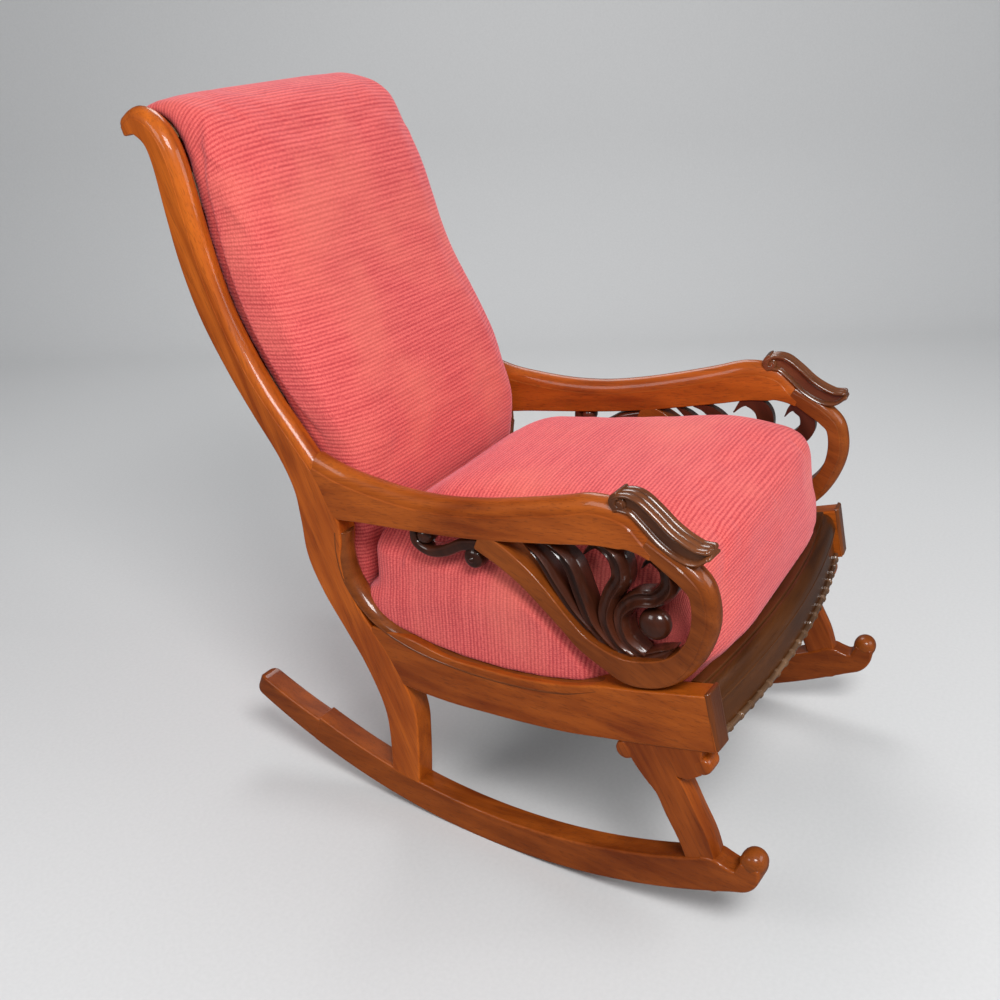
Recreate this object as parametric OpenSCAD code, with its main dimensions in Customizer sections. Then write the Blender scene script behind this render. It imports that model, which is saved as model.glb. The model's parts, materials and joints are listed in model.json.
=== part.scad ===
// Upholstered rocking chair on bow runners, with scrolled arms and a scrolled back.
// Millimetres. +Z is up, the chair faces -Y and the sitter's right is at -X.
// Each side frame is drawn flat, as [rearward, upward] places. It is then set upright on
// both sides of the chair, turned in towards the rear and leaning out a little at the top.

/* [Overall] */
// Distance between the middles of the two side frames at the front of the seat
front_w = 588; // [560:1:620]
// Depth that the side frame's places are shares of
frame_d = 952; // [920:1:990]
// Height of the side frame, from the floor to the top of the scrolled back
frame_h = 984; // [950:1:1020]
// Turn of each side frame towards the middle of the back
taper_angle = 5.5; // [4.5:0.1:6.5]
// Outward lean of each side frame
lean_angle = 1.8; // [0.5:0.1:2.5]

/* [Side frame] */
// Thickness of the sawn side timbers
frame_t = 34; // [30:1:38]
// Depth of the back stile, seen from the side
stile_w = 46; // [42:1:50]
// Depth of the side rail at its front end
rail_w = 78; // [72:1:82]
// Depth of the arm rail where it leaves the cap
arm_w = 60; // [54:1:64]
// Depth of the scroll that carries the arm
scroll_w = 29; // [25:1:33]
// Depth of the front leg across its run
leg_w = 46; // [42:1:50]
// Thickness of the front leg
leg_t = 30; // [26:1:32]
// Depth of the front leg's nose, past its chamfered front corners
leg_nose = 14; // [10:1:16]
// Radius of the curve that the runners rock on
runner_r = 890; // [840:10:950]
// Depth of the runner
runner_w = 50; // [44:1:56]
// Depth of the flat worn into each runner where the chair stands at rest
wear_d = 1.2; // [0.9:0.1:1.6]
// Radius of the scroll at the runner's front end
runner_scroll_r = 18; // [15:1:20]

/* [Arm caps and carving] */
// Width of the reeded cap across the arm
cap_w = 31; // [28:1:36]
// Thickness of the cap
cap_t = 27; // [24:1:30]
// Radius of the volute at the rear of the cap
volute_r = 14; // [12:0.5:16]
// Thickness of the carved leaves
leaf_t = 26; // [20:1:30]

/* [Front rail] */
// Thickness of the plain apron
apron_t = 25; // [20:1:30]
// Height of the plain apron
apron_h = 40; // [36:1:44]
// Bow of the front rail, ends to middle
apron_bow = 26; // [20:1:32]
// Height of the hollow moulding above the apron
moulding_h = 30; // [26:1:34]
// Depth of the hollow in the moulding
moulding_d = 13; // [9:1:16]
// Radius of the turned beading below the apron
bead_r = 5; // [4:0.25:6]
// Number of reels along the beading
reel_count = 19; // [9:1:25]
// Height of the block at each end of the front rail
block_h = 76; // [74:1:82]
// Thickness of the block
block_t = 7; // [6:0.5:9]

/* [Cross rails] */
// Thickness of the rear seat rail
rear_rail_t = 25; // [20:1:30]
// Height of the rear seat rail
rear_rail_h = 62; // [54:1:66]
// Thickness of the crest rail and the lower back rail
back_rail_t = 19; // [16:1:22]
// Leg length of the glue blocks in the seat corners
corner_w = 58; // [48:1:70]
// Thickness of the glue blocks
corner_t = 13; // [10:1:16]
// Diameter of the dowels in the side frames
dowel_d = 9; // [7:0.5:10]
// Length of the dowels in the side frames
dowel_l = 44; // [36:1:50]

/* [Upholstery] */
// Height of the seat's shoulders above its webbing
shoulder_h = 165; // [155:1:170]
// Rise of the seat's crown above its shoulders
crown_h = 78; // [66:1:90]
// Clearance that soft pieces keep from the timber
soft_gap = 0.3; // [0.3:0.1:0.6]
// Width of the webbing straps
web_w = 50; // [44:1:54]
// Thickness of the webbing straps
web_t = 1.6; // [1.2:0.1:2.2]
// Thickness of the hessian and of the outer cloths
cloth_t = 1.2; // [0.8:0.1:1.6]
// Height of the seat springs
spring_h = 140; // [125:1:145]
// Radius of a spring at its ends
spring_r = 38; // [32:1:42]
// Diameter of the spring wire
wire_d = 3.6; // [3:0.1:4]
// Number of seat springs in each direction
spring_rows = 3; // [2:1:3]
// Radius of the back springs
back_spring_r = 30; // [26:1:34]
// Thickness of the stuffing over the back springs
pad_wall = 18; // [16:1:22]

/* [Hidden] */

// Straight steps in each stretch of a curve
steps = 6;

// Places in the side frame, as [share of frame_d, share of frame_h], and where a third
// value stands it is the timber's depth there, as a share of that timber's named depth
stile_shares = [
    [0.907, 0.976, 0.58], [0.883, 0.982, 0.76], [0.855, 0.966, 0.82], [0.839, 0.933, 0.91],
    [0.827, 0.869, 1.00], [0.814, 0.804, 1.04], [0.792, 0.737, 1.02], [0.757, 0.671, 0.98],
    [0.718, 0.614, 1.00], [0.676, 0.561, 1.12], [0.644, 0.509, 1.40], [0.632, 0.456, 1.58],
    [0.632, 0.404, 1.42], [0.616, 0.354, 1.18], [0.585, 0.305, 1.12], [0.548, 0.254, 1.26],
    [0.517, 0.189, 1.33], [0.512, 0.130, 1.20], [0.517, 0.041, 1.13]
];
rail_shares = [
    [0.556, 0.276, 0.94], [0.494, 0.270, 1.10], [0.423, 0.264, 0.99], [0.353, 0.267, 0.93],
    [0.286, 0.273, 0.92], [0.222, 0.283, 0.95], [0.168, 0.296, 0.99], [0.109, 0.308, 0.99],
    [0.004, 0.333, 1.00]
];
// Rounded corner of the side rail against the stile
rail_corner_shares = [
    [0.480, 0.290], [0.480, 0.314], [0.500, 0.316], [0.525, 0.324], [0.547, 0.336],
    [0.566, 0.354], [0.578, 0.371], [0.586, 0.391], [0.590, 0.414], [0.600, 0.430],
    [0.610, 0.420], [0.560, 0.290]
];
arm_shares = [
    [0.640, 0.518, 1.40], [0.600, 0.510, 1.30], [0.553, 0.509, 1.10], [0.480, 0.510, 0.90],
    [0.412, 0.515, 0.83], [0.346, 0.525, 0.85], [0.284, 0.538, 0.89], [0.224, 0.552, 0.95],
    [0.179, 0.563, 1.00], [0.138, 0.563, 0.90], [0.113, 0.554, 0.62], [0.095, 0.545, 0.48]
];
cap_shares = [
    [0.028, 0.554, 0.50], [0.043, 0.549, 0.86], [0.060, 0.552, 1.00], [0.082, 0.563, 1.03],
    [0.105, 0.580, 1.00], [0.125, 0.592, 0.93], [0.144, 0.594, 0.93]
];
volute_share = [0.143, 0.593];
scroll_shares = [
    [0.105, 0.552, 0.90], [0.074, 0.535, 1.00], [0.050, 0.520, 1.00], [0.033, 0.502, 0.98],
    [0.027, 0.467, 1.03], [0.035, 0.431, 1.00], [0.055, 0.400, 1.10], [0.083, 0.380, 1.25],
    [0.124, 0.369, 1.25], [0.159, 0.376, 0.95], [0.194, 0.391, 0.80], [0.218, 0.410, 0.76],
    [0.248, 0.436, 0.88], [0.279, 0.461, 0.98], [0.315, 0.482, 1.05], [0.350, 0.497, 1.05]
];
tail_shares = [
    [0.345, 0.490, 0.60], [0.383, 0.480, 0.62], [0.412, 0.464, 0.60], [0.439, 0.457, 0.52],
    [0.461, 0.465, 0.50], [0.465, 0.482, 0.42], [0.461, 0.494, 0.42]
];
tail_ball_share = [0.447, 0.478];
tail_ball_r = scroll_w * 0.42;
small_ball_share = [0.362, 0.468];
small_ball_r = scroll_w * 0.45;
leg_shares = [
    [0.113, 0.285, 1.30], [0.101, 0.256, 1.20], [0.086, 0.233, 1.08], [0.066, 0.210, 1.00],
    [0.049, 0.178, 1.00], [0.030, 0.144, 0.98], [0.017, 0.110, 0.92]
];
knee_shares = [
    [0.022, 0.290], [0.090, 0.290], [0.075, 0.235], [0.040, 0.236], [0.022, 0.250]
];
rear_lobe_share = [0.135, 0.251];
front_lobe_share = [0.022, 0.263];
lobe_r = leg_w * 0.27;
// Width of a carved leaf at its fullest, and radius of the rolled boss among the leaves
leaf_w = frame_h * 0.0203;
boss_r = leaf_w;
// Leaves of the carving, each from its tip to its root in the bottom of the scroll
leaf_tables_shares = [
    [[0.290, 0.508, 0.50], [0.262, 0.490, 0.65], [0.236, 0.458, 0.75], [0.208, 0.424, 0.75],
     [0.176, 0.396, 0.70]],
    [[0.262, 0.514, 0.50], [0.240, 0.510, 0.70], [0.216, 0.492, 0.90], [0.200, 0.456, 0.95],
     [0.182, 0.416, 0.85], [0.154, 0.388, 0.70]],
    [[0.196, 0.512, 0.40], [0.178, 0.530, 0.75], [0.152, 0.520, 1.00], [0.144, 0.494, 1.00],
     [0.158, 0.464, 0.95], [0.164, 0.432, 0.90], [0.150, 0.402, 0.80], [0.128, 0.386, 0.70]],
    [[0.114, 0.514, 0.35], [0.103, 0.528, 0.75], [0.083, 0.520, 0.95], [0.078, 0.498, 1.00],
     [0.094, 0.478, 1.00], [0.122, 0.468, 0.95], [0.142, 0.444, 0.90], [0.136, 0.412, 0.85],
     [0.112, 0.392, 0.80]]
];
boss_share = [0.086, 0.442];
boss_stem_shares = [[0.080, 0.425, 1.10], [0.096, 0.406, 1.20], [0.116, 0.388, 1.10]];
// Dowels as [place, turn from upright]
dowel_shares = [
    [0.604, 0.523, 82], [0.607, 0.492, 82], [0.514, 0.066, 4], [0.014, 0.121, -28],
    [0.078, 0.274, -8], [0.098, 0.351, -2], [0.093, 0.546, -61], [0.525, 0.255, 90]
];

// Runner: middle of its curve, ends and the step near its rear end
contact_share = 0.373;
runner_front_share = -0.045;
runner_rear_share = 0.808;
runner_step_share = 0.696;
runner_step_h = runner_w * 0.1;
runner_end_w = runner_w * 0.72;
// Middle of the rolled front end and bottom of the hollow behind it, as shares of frame_d,
// and their heights above the curve under the runner
runner_scroll_u_share = -0.053;
hollow_u_share = -0.027;
runner_scroll_rise = runner_w * 0.844;
hollow_rise = runner_w * 0.693;

// Tilt of the front rail and its blocks, square to the front end of the side rails
front_tilt = 12;
front_share = [0.016, 0.332];
// Height at which front_w is measured
width_z = frame_h * 0.48;

// Flat side frame
function place(share) = [share.x * frame_d, share.y * frame_h];
function sized(shares, w) = [
    for (s = shares) [s.x * frame_d, s.y * frame_h, s.z * w]
];
function bend(a, b, c, d, t) =
    (2 * b + (c - a) * t + (2 * a - 5 * b + 4 * c - d) * t * t
        + (3 * b - a - 3 * c + d) * t * t * t) / 2;
function curve(p, n = steps) = concat(
    [for (i = [0 : len(p) - 2]) for (k = [0 : n - 1])
        bend(p[max(i - 1, 0)], p[i], p[i + 1], p[min(i + 2, len(p) - 1)], k / n)],
    [p[len(p) - 1]]
);
function flat(p) = [p.x, p.y];
function square_to(c, i) =
    let (d = flat(c[min(i + 1, len(c) - 1)]) - flat(c[max(i - 1, 0)]))
    [-d.y, d.x] / norm(d);
function shifted(c, i, by) = flat(c[i]) + square_to(c, i) * by;
function band(c) = concat(
    [for (i = [0 : len(c) - 1]) shifted(c, i, c[i].z / 2)],
    [for (i = [len(c) - 1 : -1 : 0]) shifted(c, i, -c[i].z / 2)]
);
function arc(centre, r, a0, a1, n) = [
    for (i = [0 : n])
        let (a = a0 + (a1 - a0) * i / n)
        centre + r * [cos(a), sin(a)]
];

stile_path = curve(sized(stile_shares, stile_w));
rail_path = curve(sized(rail_shares, rail_w));
arm_path = curve(sized(arm_shares, arm_w));
cap_path = curve(sized(cap_shares, cap_t));
scroll_path = curve(sized(scroll_shares, scroll_w));
tail_path = curve(sized(tail_shares, scroll_w));
leg_path = curve(sized(leg_shares, leg_w));

// Runner outline, round its curve's middle
contact_u = contact_share * frame_d;
runner_mid = [contact_u, runner_r - wear_d];
function runner_at(u, w) =
    [u, runner_mid.y - sqrt(pow(runner_r - w, 2) - pow(u - contact_u, 2))];
runner_facets = 24;
end_facets = 8;
runner_u0 = runner_front_share * frame_d;
runner_u1 = runner_rear_share * frame_d;
step_u = runner_step_share * frame_d;
end_angle = asin((runner_u1 - contact_u) / runner_r);
end_mid = runner_mid + (runner_r - runner_end_w / 2) * [sin(end_angle), -cos(end_angle)];
runner_scroll = runner_at(runner_scroll_u_share * frame_d, 0) + [0, runner_scroll_rise];
hollow = runner_at(hollow_u_share * frame_d, 0) + [0, hollow_rise];
nose_angles = [180, 235];
nose_r_share = 0.8;
runner_outline = concat(
    [for (i = [0 : runner_facets])
        runner_at(runner_u0 + (runner_u1 - runner_u0) * i / runner_facets, 0)],
    arc(end_mid, runner_end_w / 2, end_angle - 60, end_angle + 90, end_facets),
    [for (i = [end_facets - 1 : -1 : 1])
        runner_at(step_u + (runner_u1 - step_u) * i / end_facets,
            mix(runner_w - runner_step_h, runner_end_w, i / end_facets))],
    [runner_at(step_u, runner_w - runner_step_h), runner_at(step_u, runner_w)],
    [for (i = [runner_facets : -1 : 0])
        runner_at(mix(0, step_u - runner_step_h, i / runner_facets), runner_w)],
    [hollow, runner_scroll],
    arc(runner_scroll, runner_scroll_r * nose_r_share, nose_angles[0], nose_angles[1], end_facets)
);
function mix(a, b, t) = a + (b - a) * t;

// Front block, square to the end of the side rail
front_point = place(front_share);
forward = [-cos(front_tilt), sin(front_tilt)];
upward = [sin(front_tilt), cos(front_tilt)];
block_outline = [
    front_point - upward * block_h / 2,
    front_point - upward * block_h / 2 + forward * block_t,
    front_point + upward * (block_h / 2 - block_t / 2) + forward * block_t,
    front_point + upward * block_h / 2 + forward * block_t / 2,
    front_point + upward * block_h / 2
];
// Everything forward of the block's rear face
before_block = [
    front_point - upward * block_h, front_point - upward * block_h + forward * block_h,
    front_point + upward * block_h + forward * block_h, front_point + upward * block_h
];

// Sides of the chair
module left_side() {
    translate([front_w / 2, 0, width_z])
        rotate([0, lean_angle, taper_angle])
            translate([0, 0, -width_z])
                children();
}
module right_side() {
    mirror([1, 0, 0])
        left_side()
            children();
}
module plate(outline, t = frame_t) {
    rotate([90, 0, 90])
        linear_extrude(t, center = true)
            polygon(outline);
}
module cut(outline) {
    plate(outline, frame_t + cap_w);
}
module disc(p, r, t = frame_t) {
    translate([0, p.x, p.y])
        rotate([0, 90, 0])
            cylinder(r = r, h = t, center = true, $fn = 36);
}
module side_dowels(l = dowel_l) {
    for (s = dowel_shares)
        translate([0, s.x * frame_d, s.y * frame_h])
            rotate([s.z, 0, 0])
                cylinder(d = dowel_d, h = l, center = true, $fn = 24);
}

// World place of a point of the flat side frame, seen from the side
function upright(p) = [
    p.x * cos(taper_angle) + (p.y - width_z) * sin(lean_angle) * sin(taper_angle),
    width_z + (p.y - width_z) * cos(lean_angle)
];
// Half of the clear width between the side frames
function half_gap(y, z) =
    front_w / 2 - y * tan(taper_angle) + (z - width_z) * tan(lean_angle) / cos(taper_angle)
    - frame_t / 2 / cos(lean_angle) / cos(taper_angle);
// Everything between the inner faces of the side frames
module between(gap = 0) {
    big = 2 * frame_h;
    intersection() {
        for_side(gap, big);
        mirror([1, 0, 0])
            for_side(gap, big);
    }
}
module for_side(gap, big) {
    translate([front_w / 2, 0, width_z])
        rotate([0, lean_angle, taper_angle])
            translate([-frame_t / 2 - gap - big, -big, -big])
                cube([big, 2 * big, 2 * big]);
}
// A piece across the chair, of an outline seen from the side in world places
module across(outline, gap = 0) {
    intersection() {
        plate(outline, front_w);
        between(gap);
    }
}

// Timber of the side frames
module stile() {
    color("saddlebrown")
        difference() {
            plate(band(stile_path));
            cut(runner_outline);
            side_dowels();
        }
}
module side_rail() {
    color("sienna")
        difference() {
            union() {
                plate(band(rail_path));
                plate([for (s = rail_corner_shares) place(s)]);
            }
            cut(band(stile_path));
            cut(before_block);
            side_dowels();
        }
}
module arm_cap() {
    color("maroon")
        union() {
            plate(band(cap_path), cap_w);
            disc(place(volute_share), volute_r, cap_w);
        }
}
module cap_cut() {
    cut(band(cap_path));
    disc(place(volute_share), volute_r, frame_t + cap_w);
}
module arm_rail() {
    color("saddlebrown")
        difference() {
            plate(band(arm_path));
            cut(band(stile_path));
            cap_cut();
            side_dowels();
        }
}
module arm_scroll() {
    color("brown")
        difference() {
            union() {
                plate(band(scroll_path));
                plate(band(tail_path));
                disc(place(tail_ball_share), tail_ball_r);
                disc(place(small_ball_share), small_ball_r);
            }
            cut(band(arm_path));
            cut(band(rail_path));
            cap_cut();
            side_dowels();
        }
}
module arm_carving() {
    color("maroon")
        difference() {
            union() {
                for (leaf = leaf_tables_shares)
                    plate(band(curve(sized(leaf, leaf_w))), leaf_t);
                plate(band(curve(sized(boss_stem_shares, leaf_w))), leaf_t);
                disc(place(boss_share), boss_r, leaf_t);
            }
            cut(band(arm_path));
            cut(band(scroll_path));
        }
}
module front_block() {
    color("brown")
        plate(block_outline);
}
module front_leg() {
    color("sienna")
        difference() {
            union() {
                plate(band(leg_path), leg_t);
                plate(band([for (p = leg_path) [p.x - leg_nose, p.y, p.z]]), leg_t / 2);
                plate([for (s = knee_shares) place(s)], leg_t);
                disc(place(rear_lobe_share), lobe_r, leg_t);
                disc(place(front_lobe_share), lobe_r, leg_t);
            }
            cut(band(rail_path));
            cut(block_outline);
            cut(runner_outline);
            side_dowels();
        }
}
module runner_side() {
    difference() {
        union() {
            plate(runner_outline);
            translate([0, runner_scroll.x, runner_scroll.y])
                sphere(r = runner_scroll_r, $fn = 48);
        }
        side_dowels();
    }
}
module floor_cut() {
    translate([-front_w, -frame_d, -frame_h])
        cube([2 * front_w, 3 * frame_d, frame_h]);
}

module stile_right() right_side() stile();
module stile_left() left_side() stile();
module side_rail_right() right_side() side_rail();
module side_rail_left() left_side() side_rail();
module arm_rail_right() right_side() arm_rail();
module arm_rail_left() left_side() arm_rail();
module arm_cap_right() right_side() arm_cap();
module arm_cap_left() left_side() arm_cap();
module arm_scroll_right() right_side() arm_scroll();
module arm_scroll_left() left_side() arm_scroll();
module arm_carving_right() right_side() arm_carving();
module arm_carving_left() left_side() arm_carving();
module front_block_right() right_side() front_block();
module front_block_left() left_side() front_block();
module front_leg_right() right_side() front_leg();
module front_leg_left() left_side() front_leg();
module runner_right() {
    color("saddlebrown")
        difference() {
            right_side() runner_side();
            floor_cut();
        }
}
module runner_left() {
    color("saddlebrown")
        difference() {
            left_side() runner_side();
            floor_cut();
        }
}

// Front rail, bowed forward, drawn as [forward, up] from the middle of a block's rear face
module front_frame() {
    translate([0, upright(front_point).x, upright(front_point).y])
        rotate([-front_tilt, 0, 0])
            children();
}
bow_r = (pow(half_gap(0, width_z), 2) + pow(apron_bow, 2)) / (2 * apron_bow);
// The bow is drawn past the side frames and cut between them
bow_overrun_share = 1.2;
bow_angle = bow_overrun_share * asin(half_gap(0, width_z) / bow_r);
apron_set = block_t * 0.6;
apron_face = apron_bow - apron_set;
apron_low = -(apron_h + moulding_h) / 2 + bead_r * 0.4;
module bowed(section) {
    intersection() {
        front_frame()
            translate([0, bow_r - apron_face, 0])
                rotate([0, 0, 270 - bow_angle])
                    rotate_extrude(angle = 2 * bow_angle, $fn = 240)
                        translate([bow_r, 0])
                            polygon(section);
        between();
    }
}
apron_section = [
    [-apron_t, apron_low], [0, apron_low], [0, apron_low + apron_h],
    [-apron_t, apron_low + apron_h]
];
moulding_low = apron_low + apron_h;
moulding_lip = moulding_h * 0.12;
moulding_section = concat(
    [[-apron_t, moulding_low], [moulding_lip, moulding_low],
        [moulding_lip, moulding_low + moulding_lip]],
    [for (i = [0 : end_facets])
        let (a = 90 * i / end_facets)
        [moulding_lip - moulding_d * (1 - cos(a)), moulding_low + moulding_lip
            + (moulding_h - 2 * moulding_lip) * sin(a)]],
    [[moulding_lip - moulding_d, moulding_low + moulding_h],
        [-apron_t, moulding_low + moulding_h]]
);
module front_rail() {
    color("saddlebrown")
        bowed(apron_section);
}
module front_moulding() {
    color("sienna")
        bowed(moulding_section);
}
reel_run_share = 1.66;
module front_beading() {
    bead_mid = [bow_r - bead_r / 2, apron_low - bead_r];
    color("maroon")
        intersection() {
            front_frame()
                translate([0, bow_r - apron_face, 0]) {
                    rotate([0, 0, 270 - bow_angle])
                        rotate_extrude(angle = 2 * bow_angle, $fn = 240)
                            translate(bead_mid)
                                circle(r = bead_r * 0.85, $fn = 24);
                    for (i = [1 : reel_count])
                        rotate([0, 0, 270 + bow_angle * reel_run_share * (i / (reel_count + 1) - 0.5)])
                            translate([bead_mid.x, 0, bead_mid.y])
                                rotate([90, 0, 0])
                                    cylinder(r = bead_r, h = bead_r * 0.8, center = true, $fn = 24);
                }
            between();
        }
}

// Rear seat rail, and the rails inside the back
rear_rail_share = [0.549, 0.262];
rear_rail_at = upright(place(rear_rail_share));
module rear_rail() {
    color("peru")
        across([
            rear_rail_at + [0, -rear_rail_h / 2], rear_rail_at + [rear_rail_t, -rear_rail_h / 2],
            rear_rail_at + [rear_rail_t, rear_rail_h / 2], rear_rail_at + [0, rear_rail_h / 2]
        ]);
}
// Place at a step of the stile's path, by this much in front of its middle
function back_at(i, by) = upright(shifted(stile_path, i, -by));
// The back's layers all take every second place along the path
stride = 2;
function back_strip(run, o0, o1) = concat(
    [for (i = [run[0] : stride : run[1]]) back_at(i, o0)],
    [for (i = [run[1] : -stride : run[0]]) back_at(i, o1)]
);
// Runs along the stile's path, from the top down, that the back's pieces take
crest_run = [stride, 2 * steps + stride];
lower_run = [12 * steps, 13 * steps + stride];
web_run = [steps + stride, 13 * steps];
outside_run = [stride, 13 * steps];
pad_last = 13;
// Layers of the back, in front of the stile's middle
back_front = stile_w * 0.1;
back_rear = back_front - back_rail_t;
web_front = back_front + web_t;
module crest_rail() {
    color("peru")
        across(back_strip(crest_run, back_rear, back_front));
}
module lower_back_rail() {
    color("peru")
        across(back_strip(lower_run, back_rear, back_front));
}
back_strap_count = 5;
back_strap_share = 0.62;
back_strap_run = 12 * steps;
module back_webbing() {
    pitch = half_gap(stile_path[7 * steps].x, stile_path[7 * steps].y) * back_strap_share;
    color("tan")
        union() {
            for (k = [-1 : 1])
                translate([k * pitch, 0, 0])
                    plate(back_strip(web_run, back_front, web_front), web_w);
            for (k = [1 : back_strap_count])
                let (i = stride * round((web_run[0] + back_strap_run * k / (back_strap_count + 1)) / stride))
                across(back_strip([i, i + 2 * stride], back_front, web_front));
        }
}
module outside_back() {
    color("indianred")
        across(back_strip(outside_run, back_rear - cloth_t, back_rear), soft_gap);
}

// Seat frame: its plane starts under the front rail and falls towards the rear
seat_tilt = 7;
seat_z = upright(front_point - upward * block_h / 2).y;
module seat_frame() {
    translate([0, 0, seat_z])
        rotate([-seat_tilt, 0, 0])
            children();
}
function seat_world(y, z) = [
    y * cos(seat_tilt) + z * sin(seat_tilt), seat_z - y * sin(seat_tilt) + z * cos(seat_tilt)
];
function seat_local(p) = [
    p.x * cos(seat_tilt) - (p.y - seat_z) * sin(seat_tilt),
    p.x * sin(seat_tilt) + (p.y - seat_z) * cos(seat_tilt)
];
web_z = corner_t + 2 * cloth_t;
springs_z = web_z + 2 * web_t + soft_gap;
spring_top = springs_z + spring_h + soft_gap;
// Rear face of the front rail at its top, and the rear rail's front face at its top
rail_back = [apron_t - apron_face, moulding_low + moulding_h];
front_top = seat_local(upright(front_point) + [
    rail_back.x * cos(front_tilt) + rail_back.y * sin(front_tilt),
    rail_back.y * cos(front_tilt) - rail_back.x * sin(front_tilt)
]);
rear_top = seat_local(rear_rail_at + [0, rear_rail_h / 2]);
well_front = front_top.x;
well_rear = rear_top.x - soft_gap;

// Cloth or webbing inside the seat frame, reaching the rails all round
module in_well(low, t) {
    intersection() {
        seat_frame()
            translate([-front_w / 2, -frame_d / 2, low])
                linear_extrude(t)
                    children();
        between();
        front_frame()
            translate([0, bow_r - apron_face, 0])
                cylinder(r = bow_r - apron_t, h = frame_d, center = true, $fn = 240);
        translate([-front_w, rear_rail_at.x - 2 * frame_d, 0])
            cube([2 * front_w, 2 * frame_d, frame_h]);
    }
}
strap_count = 4;
// Pitch of the straps, as shares of the seat's width and depth
strap_across_share = 0.16;
strap_along_share = 0.21;
module seat_webbing() {
    color("tan") {
        in_well(web_z, web_t)
            for (k = [0 : strap_count - 1])
                translate([
                    front_w * (0.5 + strap_across_share * (k - (strap_count - 1) / 2)) - web_w / 2, 0
                ])
                    square([web_w, 2 * frame_d]);
        in_well(web_z + web_t, web_t)
            for (k = [0 : strap_count - 1])
                let (y = well_rear * (1 - strap_along_share * (strap_count - k)))
                translate([0, frame_d / 2 + y - web_w / 2])
                    square([front_w, web_w]);
    }
}
module bottom_cloth() {
    color("dimgray")
        in_well(web_z - corner_t - cloth_t, cloth_t)
            square([front_w, 2 * frame_d]);
}
// Plan of a glue block whose right angle stands in a corner, way turns it to front or rear
module corner_plan(side, y, way) {
    translate([front_w / 2 + side * half_gap(y, seat_z), frame_d / 2 + y])
        polygon([
            [side * corner_w, -way * corner_w], [0, -way * corner_w],
            [-side * corner_w, 0], [-side * corner_w, way * corner_w],
            [side * corner_w, way * corner_w]
        ]);
}
module front_corner_blocks() {
    color("peru")
        for (side = [-1, 1])
            in_well(web_z - corner_t, corner_t)
                corner_plan(side, well_front + apron_bow, -1);
}
module rear_corner_blocks() {
    color("peru")
        for (side = [-1, 1])
            in_well(web_z - corner_t, corner_t)
                corner_plan(side, well_rear, 1);
}

// Closed skin over rings of points, from a first point to a last point
module skin(rings, first, last) {
    n = len(rings[0]);
    m = len(rings);
    polyhedron(
        points = concat([first], [for (r = rings) each r], [last]),
        faces = concat(
            [for (i = [0 : n - 1]) [0, 1 + i, 1 + (i + 1) % n]],
            [for (k = [0 : m - 2]) for (i = [0 : n - 1]) for (half = [0, 1])
                let (a = 1 + k * n, b = a + n, j = (i + 1) % n)
                half == 0 ? [a + i, b + i, a + j] : [a + j, b + i, b + j]],
            [for (i = [0 : n - 1]) [m * n + 1, 1 + (m - 1) * n + (i + 1) % n, 1 + (m - 1) * n + i]]
        ),
        convexity = 8
    );
}
function signed_power(v, e) = sign(v) * pow(abs(v), e);

// Springs, waisted, each one unbroken wire of this height, end radius and number of turns
spring_turns = 4;
back_spring_turns = 3;
wire_rings = 8;
wire_sides = 6;
waist_share = 0.62;
function spring_ring(k, h, r, turns) =
    let (
        t = k / (turns * wire_rings),
        a = 360 * k / wire_rings,
        rk = r * (1 - (1 - waist_share) * sin(180 * t)),
        z = wire_d / 2 + (h - wire_d) * t,
        slope = atan(h / turns / (2 * PI * rk))
    )
    [for (j = [0 : wire_sides - 1])
        let (b = 360 * j / wire_sides)
        [rk * cos(a), rk * sin(a), z] + wire_d / 2 * (cos(b) * [cos(a), sin(a), 0]
            + sin(b) * [sin(a) * sin(slope), -cos(a) * sin(slope), cos(slope)])];
function mid_of(ring) = [for (k = [0 : 2]) sum_of([for (p = ring) p[k]]) / len(ring)];
function sum_of(v) = v * [for (x = v) 1];
module spring(h, r, turns) {
    rings = [for (k = [turns * wire_rings : -1 : 0]) spring_ring(k, h, r, turns)];
    skin(rings, mid_of(rings[0]), mid_of(rings[len(rings) - 1]));
}
spring_pitch_share = 0.58;
// Room before the first row of springs and round all rows, in rows
spring_lead = 0.75;
spring_spare = 0.5;
module seat_springs() {
    color("gray")
        seat_frame()
            for (i = [0 : spring_rows - 1])
                for (j = [0 : spring_rows - 1])
                    let (
                        y = mix(well_front + apron_bow, well_rear,
                            (j + spring_lead) / (spring_rows + spring_spare)),
                        pitch = half_gap(y, seat_z) * spring_pitch_share
                    )
                    translate([(i - (spring_rows - 1) / 2) * pitch, y, springs_z])
                        spring(spring_h, spring_r, spring_turns);
}
module seat_hessian() {
    color("burlywood")
        seat_frame()
            translate([0, 0, spring_top])
                linear_extrude(cloth_t)
                    polygon(seat_outline(seat_base, well_inset + soft_gap));
}

// Seat: plan outline at a height above the seat frame's plane, drawn in by an inset
seat_points = 40;
corner_power = 0.2;
well_inset = stile_w * 0.6;
seat_base = web_z + 2 * web_t + soft_gap;
shoulder_z = springs_z + shoulder_h;
seat_rear_share = 0.567;
seat_tail_share = 0.588;
seat_rear = seat_rear_share * frame_d;
// Above the rear rail the seat reaches further back, and furthest under the back pad
tail_h = rail_w * 0.6;
function rear_at(z) = z < rear_top.y + web_t ? well_rear
    : (z < rear_top.y + tail_h ? seat_tail_share * frame_d : seat_rear) - z * sin(seat_tilt);
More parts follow.
